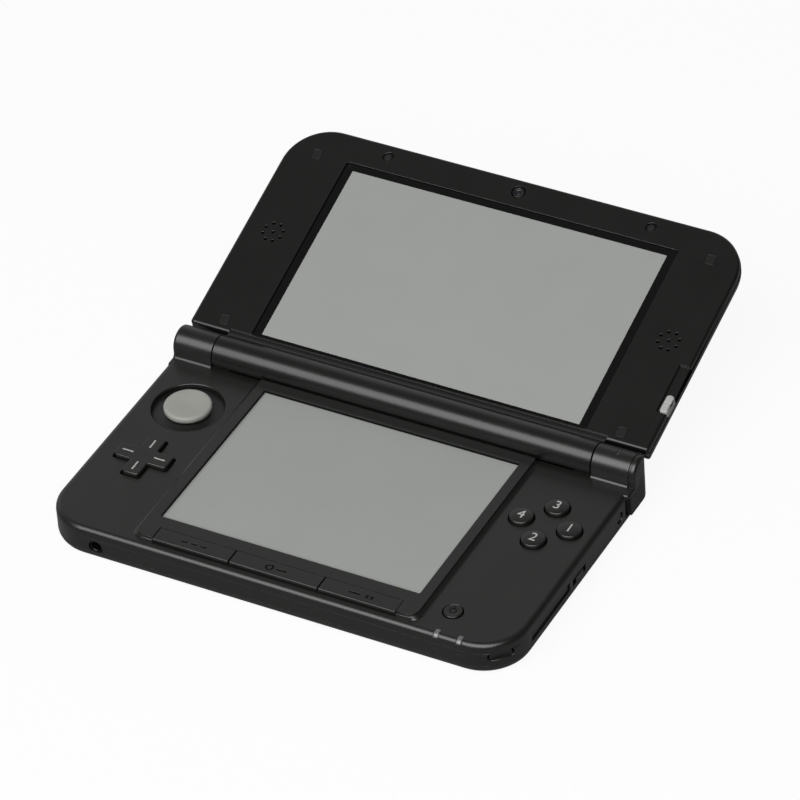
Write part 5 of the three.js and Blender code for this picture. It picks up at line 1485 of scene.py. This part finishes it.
PLUGS = {
    "top_left_screw_cover": (-67.5, 76.4),
    "top_right_screw_cover": (67.5, 76.4),
    "bottom_left_screw_cover": (-67.5, 10.45),
    "bottom_right_screw_cover": (67.5, 10.45),
}

slide_axis = next(joint for joint in frame["joints"] if joint["name"] == "depth_slide")["axis"]
lid_place = Matrix.Translation((0, hinge_y, hinge_z)) @ Matrix.Rotation(
    math.atan2(slide_axis[2], slide_axis[1]), 4, "X"
)
# A darker, less glossy copy of the deck's black plastic: painted shade for the lid's inner face, which
# the light leaves darker
bezel_plastic = plastic("bezel_plastic", (0.0055, 0.0055, 0.005), 0.3, gloss=0.6)


def lid_ring(bm, inset, z):
    """The lid's plan at a height, so far inside its widest outline"""
    return outline(
        bm,
        half_width - inset,
        LID_FOOT + inset,
        LID_HEAD - inset,
        max(LID_FOOT_CORNER - inset, SMALLEST_CORNER),
        LID_CORNER - inset,
        z,
        steps=(6, 18),
    )


bezel = stacked(lid_ring, [
    *edge_levels(LID_FACE, BEZEL_INSET, LID_FRONT_EDGE, -1, 5),
    (LID_SEAM, BEZEL_INSET),
    (LID_SEAM + RIM_SLOPE, BEZEL_INSET + LID_WALL),
    (LID_FACE - BEZEL_SKIN, BEZEL_INSET + LID_WALL + DRAFT),
])
foot = bmesh.new()
block(foot, -BARREL_HALF, BARREL_HALF, 0, LID_FOOT + 1.5, LID_SEAM - 1, LID_FACE + 1)

web_height = LENS_TOP + 0.05
web_y = math.sqrt((BARREL_RADIUS + WEB_RADIUS) ** 2 - (web_height + WEB_RADIUS) ** 2)
web_z = web_height + WEB_RADIUS
web_meet = math.degrees(math.atan2(web_z, web_y))
seam_angle = math.degrees(math.asin(LID_SEAM / BARREL_RADIUS))
barrel = bmesh.new()
barrel_outline = [
    (web_y + 2, LID_SEAM),
    (web_y + 2, web_height),
    *arc(web_y, web_z, WEB_RADIUS, -90, web_meet - 180, 12),
    *arc(0, 0, BARREL_RADIUS, web_meet, 360 + seam_angle, 72)[1:],
]
stretched(barrel, barrel_outline, -BARREL_HALF, BARREL_HALF)
bore = bmesh.new()
rod(bore, BARREL_BORE, -1, 2 * BARREL_HALF + 1, (-BARREL_HALF, 0, 0), **ALONG_X)
lens_room = bmesh.new()
room_half = LENS_HALF + LENS_GAP
room_foot = LENS_FOOT - LENS_GAP
room_head = LENS_HEAD + LENS_GAP
seat_low = LENS_LOW - LENS_SEAT
block(
    lens_room, -room_half, room_half, room_foot, room_head, seat_low, LID_FACE + 1, corner=SEAT_CORNER
)
module_room = bmesh.new()
block(module_room, -LENS_HALF + 1.5, LENS_HALF - 1.5, MODULE_FOOT, LENS_HEAD - 1.2, -3, 0)
holes = bmesh.new()
speaker_lip = SPEAKER_HOLE + SPEAKER_RIM
speaker_rim = arc(speaker_lip, LID_FACE - SPEAKER_RIM, SPEAKER_RIM, 180, 90, 4)
bumper_rim = arc(BUMPER_HOLE, LID_FACE - BUMPER_RIM, BUMPER_RIM, 180, 90, 3)
bumper_wall = BUMPER_HOLE - BUMPER_RIM
for side in (-1, 1):
    for dx, dy in [(0, 0), *arc(0, 0, SPEAKER_RING, 22.5, 337.5, 7)]:
        turned(
            holes,
            [(0, -3), (SPEAKER_HOLE, -3), *speaker_rim, (speaker_lip, 2), (0, 2)],
            (side * SPEAKER_X + dx, SPEAKER_UP + dy, 0),
            steps=24,
        )
    turned(
        holes,
        [(0, BUMPER_FLOOR), (bumper_wall, BUMPER_FLOOR), *bumper_rim, (BUMPER_HOLE, 2), (0, 2)],
        (side * BUMPER_X, CAMERA_LINE, 0),
        steps=40,
    )
rod(holes, CAMERA_HOLE, -3, 2, (0, CAMERA_LINE, 0), steps=56)
for x, y in PLUGS.values():
    room = PLUG_SIDE + 2 * PLUG_GAP
    block_at(holes, x, y, room, room, BUMPER_FLOOR, 2, corner=PLUG_CORNER + 0.05, steps=5)
channel_foot = SLIDER_LOW - SLIDER_GAP
channel_head = SLIDER_HIGH + SLIDER_TRAVEL + SLIDER_GAP
block(holes, half_width - 3.6, half_width + 1, channel_foot, channel_head, 0.2, 2)
side_channel = bmesh.new()
block(side_channel, half_width - 0.5, half_width + 1, channel_foot, channel_head, -1.57, 2)
bezel = combined(
    bezel,
    ("DIFFERENCE", foot),
    ("UNION", barrel),
    ("DIFFERENCE", bore),
    ("DIFFERENCE", lens_room),
    ("DIFFERENCE", module_room),
    ("DIFFERENCE", holes),
    ("DIFFERENCE", side_channel),
)
piece(
    "upper_screen_bezel", bezel, bezel_plastic, "lid", ["lid_front_bezel"],
    place=lid_place, edge=0.12,
)

# Lid cover: the black back of the lid, a tray with a wide rounded edge, a lip that hugs the barrel and
# two holes for the outer cameras. Four screws under the rubber plugs hold it.
LID_BACK = -7.95
LID_BACK_EDGE = 6.1
OUTER_CAMERA_X = 17.5
OUTER_CAMERA_RADIUS = 3
OUTER_CAMERA_GAP = 0.2
OUTER_CAMERA_UP = CAMERA_LINE - 3.2
HUG_GAP = 0.3
LIP_FOOT = 1.4
SEAM_GAP = 0.02

cover_seam = LID_SEAM - SEAM_GAP
cover = stacked(lid_ring, [
    *edge_levels(LID_BACK, 0, LID_BACK_EDGE, 1),
    (cover_seam, 0),
    (cover_seam - RIM_SLOPE, LID_WALL),
    *reversed(edge_levels(LID_BACK + LID_WALL, LID_WALL, LID_BACK_EDGE - LID_WALL, 1)),
])
foot = bmesh.new()
block(foot, -BARREL_HALF, BARREL_HALF, 0, LID_FOOT + 3, LID_BACK - 1, LID_SEAM + 1)
hug = BARREL_RADIUS + HUG_GAP
hug_start = -math.degrees(math.acos(LIP_FOOT / hug))
hug_end = math.degrees(math.asin(LID_SEAM / hug))
lip = bmesh.new()
lip_outline = [
    (10, cover_seam),
    (10, LID_BACK),
    (7.2, LID_BACK + 0.05),
    (6.2, LID_BACK + 0.3),
    (5.2, LID_BACK + 0.75),
    (4.2, LID_BACK + 1.3),
    (3.2, LID_BACK + 1.85),
    (LIP_FOOT, LID_BACK + 2.6),
    *arc(0, 0, hug, hug_start, hug_end, 16),
]
stretched(lip, lip_outline, -BARREL_HALF, BARREL_HALF)
behind_lip = bmesh.new()
inside_half = BARREL_HALF - LID_WALL
block(
    behind_lip, -inside_half, inside_half, LID_FOOT, LID_FOOT + 7, LID_BACK + LID_WALL, LID_SEAM + 1
)
holes = bmesh.new()
hole_radius = OUTER_CAMERA_RADIUS + OUTER_CAMERA_GAP
for side in (-1, 1):
    rod(holes, hole_radius, LID_BACK - 1, -2, (side * OUTER_CAMERA_X, OUTER_CAMERA_UP, 0))
cover = combined(
    cover, ("DIFFERENCE", foot), ("UNION", lip), ("DIFFERENCE", behind_lip), ("DIFFERENCE", holes)
)
piece(
    "lid_back_cover", cover, black_plastic, "lid", ["lid_rear_cover"],
    place=lid_place, edge=0.15,
)

# Upper screen: one glossy black lens over the whole middle of the lid, with the switched-off display
# showing gray through its clear window.
LENS_CORNER = 0.7
UPPER_HALF = 53.965
UPPER_FOOT = 9.44
UPPER_HEAD = 74.2
UPPER_CORNER = 0.15
lens_black = plastic(
    "lens_black", (0.003, 0.003, 0.0032), 0.09, grain=0.02, gloss=0.4, variation=0.05
)
lens = bmesh.new()
lens_rings = [
    outline(lens, half, foot_end, head_end, radius, radius, z, steps=(6, 6))
    for half, foot_end, head_end, z, radius in (
        (LENS_HALF, LENS_FOOT, LENS_HEAD, LENS_LOW, LENS_CORNER),
        (LENS_HALF, LENS_FOOT, LENS_HEAD, LENS_TOP, LENS_CORNER),
        (UPPER_HALF, UPPER_FOOT, UPPER_HEAD, LENS_TOP, UPPER_CORNER),
    )
]
loft(lens, lens_rings)
lens_rings[-1].material_index = 1
piece(
    "screen_lens", lens, [lens_black, screen_face], "lid", ["upper_screen_lens"],
    place=lid_place, edge=0.04,
)
dress("upper_lcd", module_metal)
for node in ("left_speaker", "right_speaker"):
    dress(node, black_rubber)

# Cameras: a small one above the upper screen and two at the back of the lid, each a black ring round a
# dark glass.
glass_black = plastic(
    "glass_black", (0.012, 0.012, 0.014), 0.3, grain=0.05, gloss=0.5, variation=0.02
)


def camera_eye(name, node, x, y, face, radius, ring, direction):
    """A black ring with a dark lens set a little back in it"""
    eye = bmesh.new()
    profile = [
        (0, 2.6), (radius, 2.6), (radius, 0.15), (radius - 0.15, 0), (radius - ring + 0.1, 0),
        (radius - ring, 0.15), (radius - ring - 0.1, 0.45),
        (0.75, 0.5), (0.6, 0.42), (0.3, 0.34), (0, 0.32),
    ]
    turned(eye, [(r, face - direction * depth) for r, depth in profile], (x, y, 0), steps=56)
    piece(name, eye, glass_black, "lid", [node], place=lid_place, edge=0)


camera_eye("inner_camera_eye", "inner_camera", 0, CAMERA_LINE, LID_FACE - 0.1, 1.9, 0.6, 1)
for name, side in (("left", -1), ("right", 1)):
    camera_eye(
        f"{name}_outer_camera_eye",
        f"{name}_outer_camera",
        side * OUTER_CAMERA_X,
        OUTER_CAMERA_UP,
        LID_BACK - 0.25,
        OUTER_CAMERA_RADIUS,
        0.8,
        -1,
    )

# Rubber parts of the lid: four square plugs over its screws, and two round bumpers that keep the closed
# lid off the base.
plug_rubber = plastic("plug_rubber", (0.0065, 0.0065, 0.006), 0.45, grain=0.4, gloss=0.5)
for node, (x, y) in PLUGS.items():
    plug = bmesh.new()
    block_at(plug, x, y, PLUG_SIDE, PLUG_SIDE, 0.15, LID_FACE + 0.03, corner=PLUG_CORNER, steps=5)
    piece(f"{node}_plug", plug, plug_rubber, "lid", [node], place=lid_place, edge=0.12)
for node, side in (("left_bumper", -1), ("right_bumper", 1)):
    bumper = bmesh.new()
    turned(
        bumper,
        [
            (0, 0.15), (1.6, 0.15), (1.6, 0.45), (1.2, 0.5),
            *arc(0.75, LID_FACE - 0.25, 0.45, 0, 75, 5),
            (0.4, LID_FACE + 0.24), (0, LID_FACE + 0.26),
        ],
        (side * BUMPER_X, CAMERA_LINE, 0),
        steps=48,
    )
    piece(f"{node}_dome", bumper, black_rubber, "lid", [node], place=lid_place, edge=0)

# Depth slider: a light gray moulded knob that wraps the lid's right edge and runs in its channel, with a
# groove for the nail across its top.
KNOB_INNER = 75.3
KNOB_OUTER = 78
KNOB_TOP = 1.5
KNOB_SKIRT = -1.5
KNOB_GRIP = 24
KNOB_FOOT_CORNER = 0.8
KNOB_HEAD_CORNER = 1.3
KNOB_TOP_EDGE = 0.7
slider_gray = plastic("slider_gray", (0.4, 0.4, 0.39), 0.4, grain=0.2, gloss=0.4, variation=0.03)
knob = bmesh.new()
inner_side = bmesh.new()
groove = bmesh.new()
knob_rings = [
    outline(
        knob,
        (KNOB_OUTER - KNOB_INNER) / 2 - inset,
        SLIDER_LOW + inset,
        SLIDER_HIGH - inset,
        KNOB_FOOT_CORNER - inset,
        KNOB_HEAD_CORNER - inset,
        z,
        x=(KNOB_OUTER + KNOB_INNER) / 2,
    )
    for z, inset in (*edge_levels(KNOB_TOP, 0, KNOB_TOP_EDGE, -1), (KNOB_SKIRT, 0))
]
loft(knob, knob_rings)
block(inner_side, 74, half_width - 0.4, SLIDER_LOW - 1, SLIDER_HIGH + 1, KNOB_SKIRT - 1, 0.3)
nail_cut = [(KNOB_GRIP - 0.35, 2), (KNOB_GRIP, KNOB_TOP - 0.25), (KNOB_GRIP + 0.1, 2)]
stretched(groove, nail_cut, 74, 80)
knob = combined(knob, ("DIFFERENCE", inner_side), ("DIFFERENCE", groove))
piece(
    "depth_knob", knob, slider_gray, "depth_slider", ["depth_slider"],
    place=lid_place, edge=0.12, rounds=3,
)
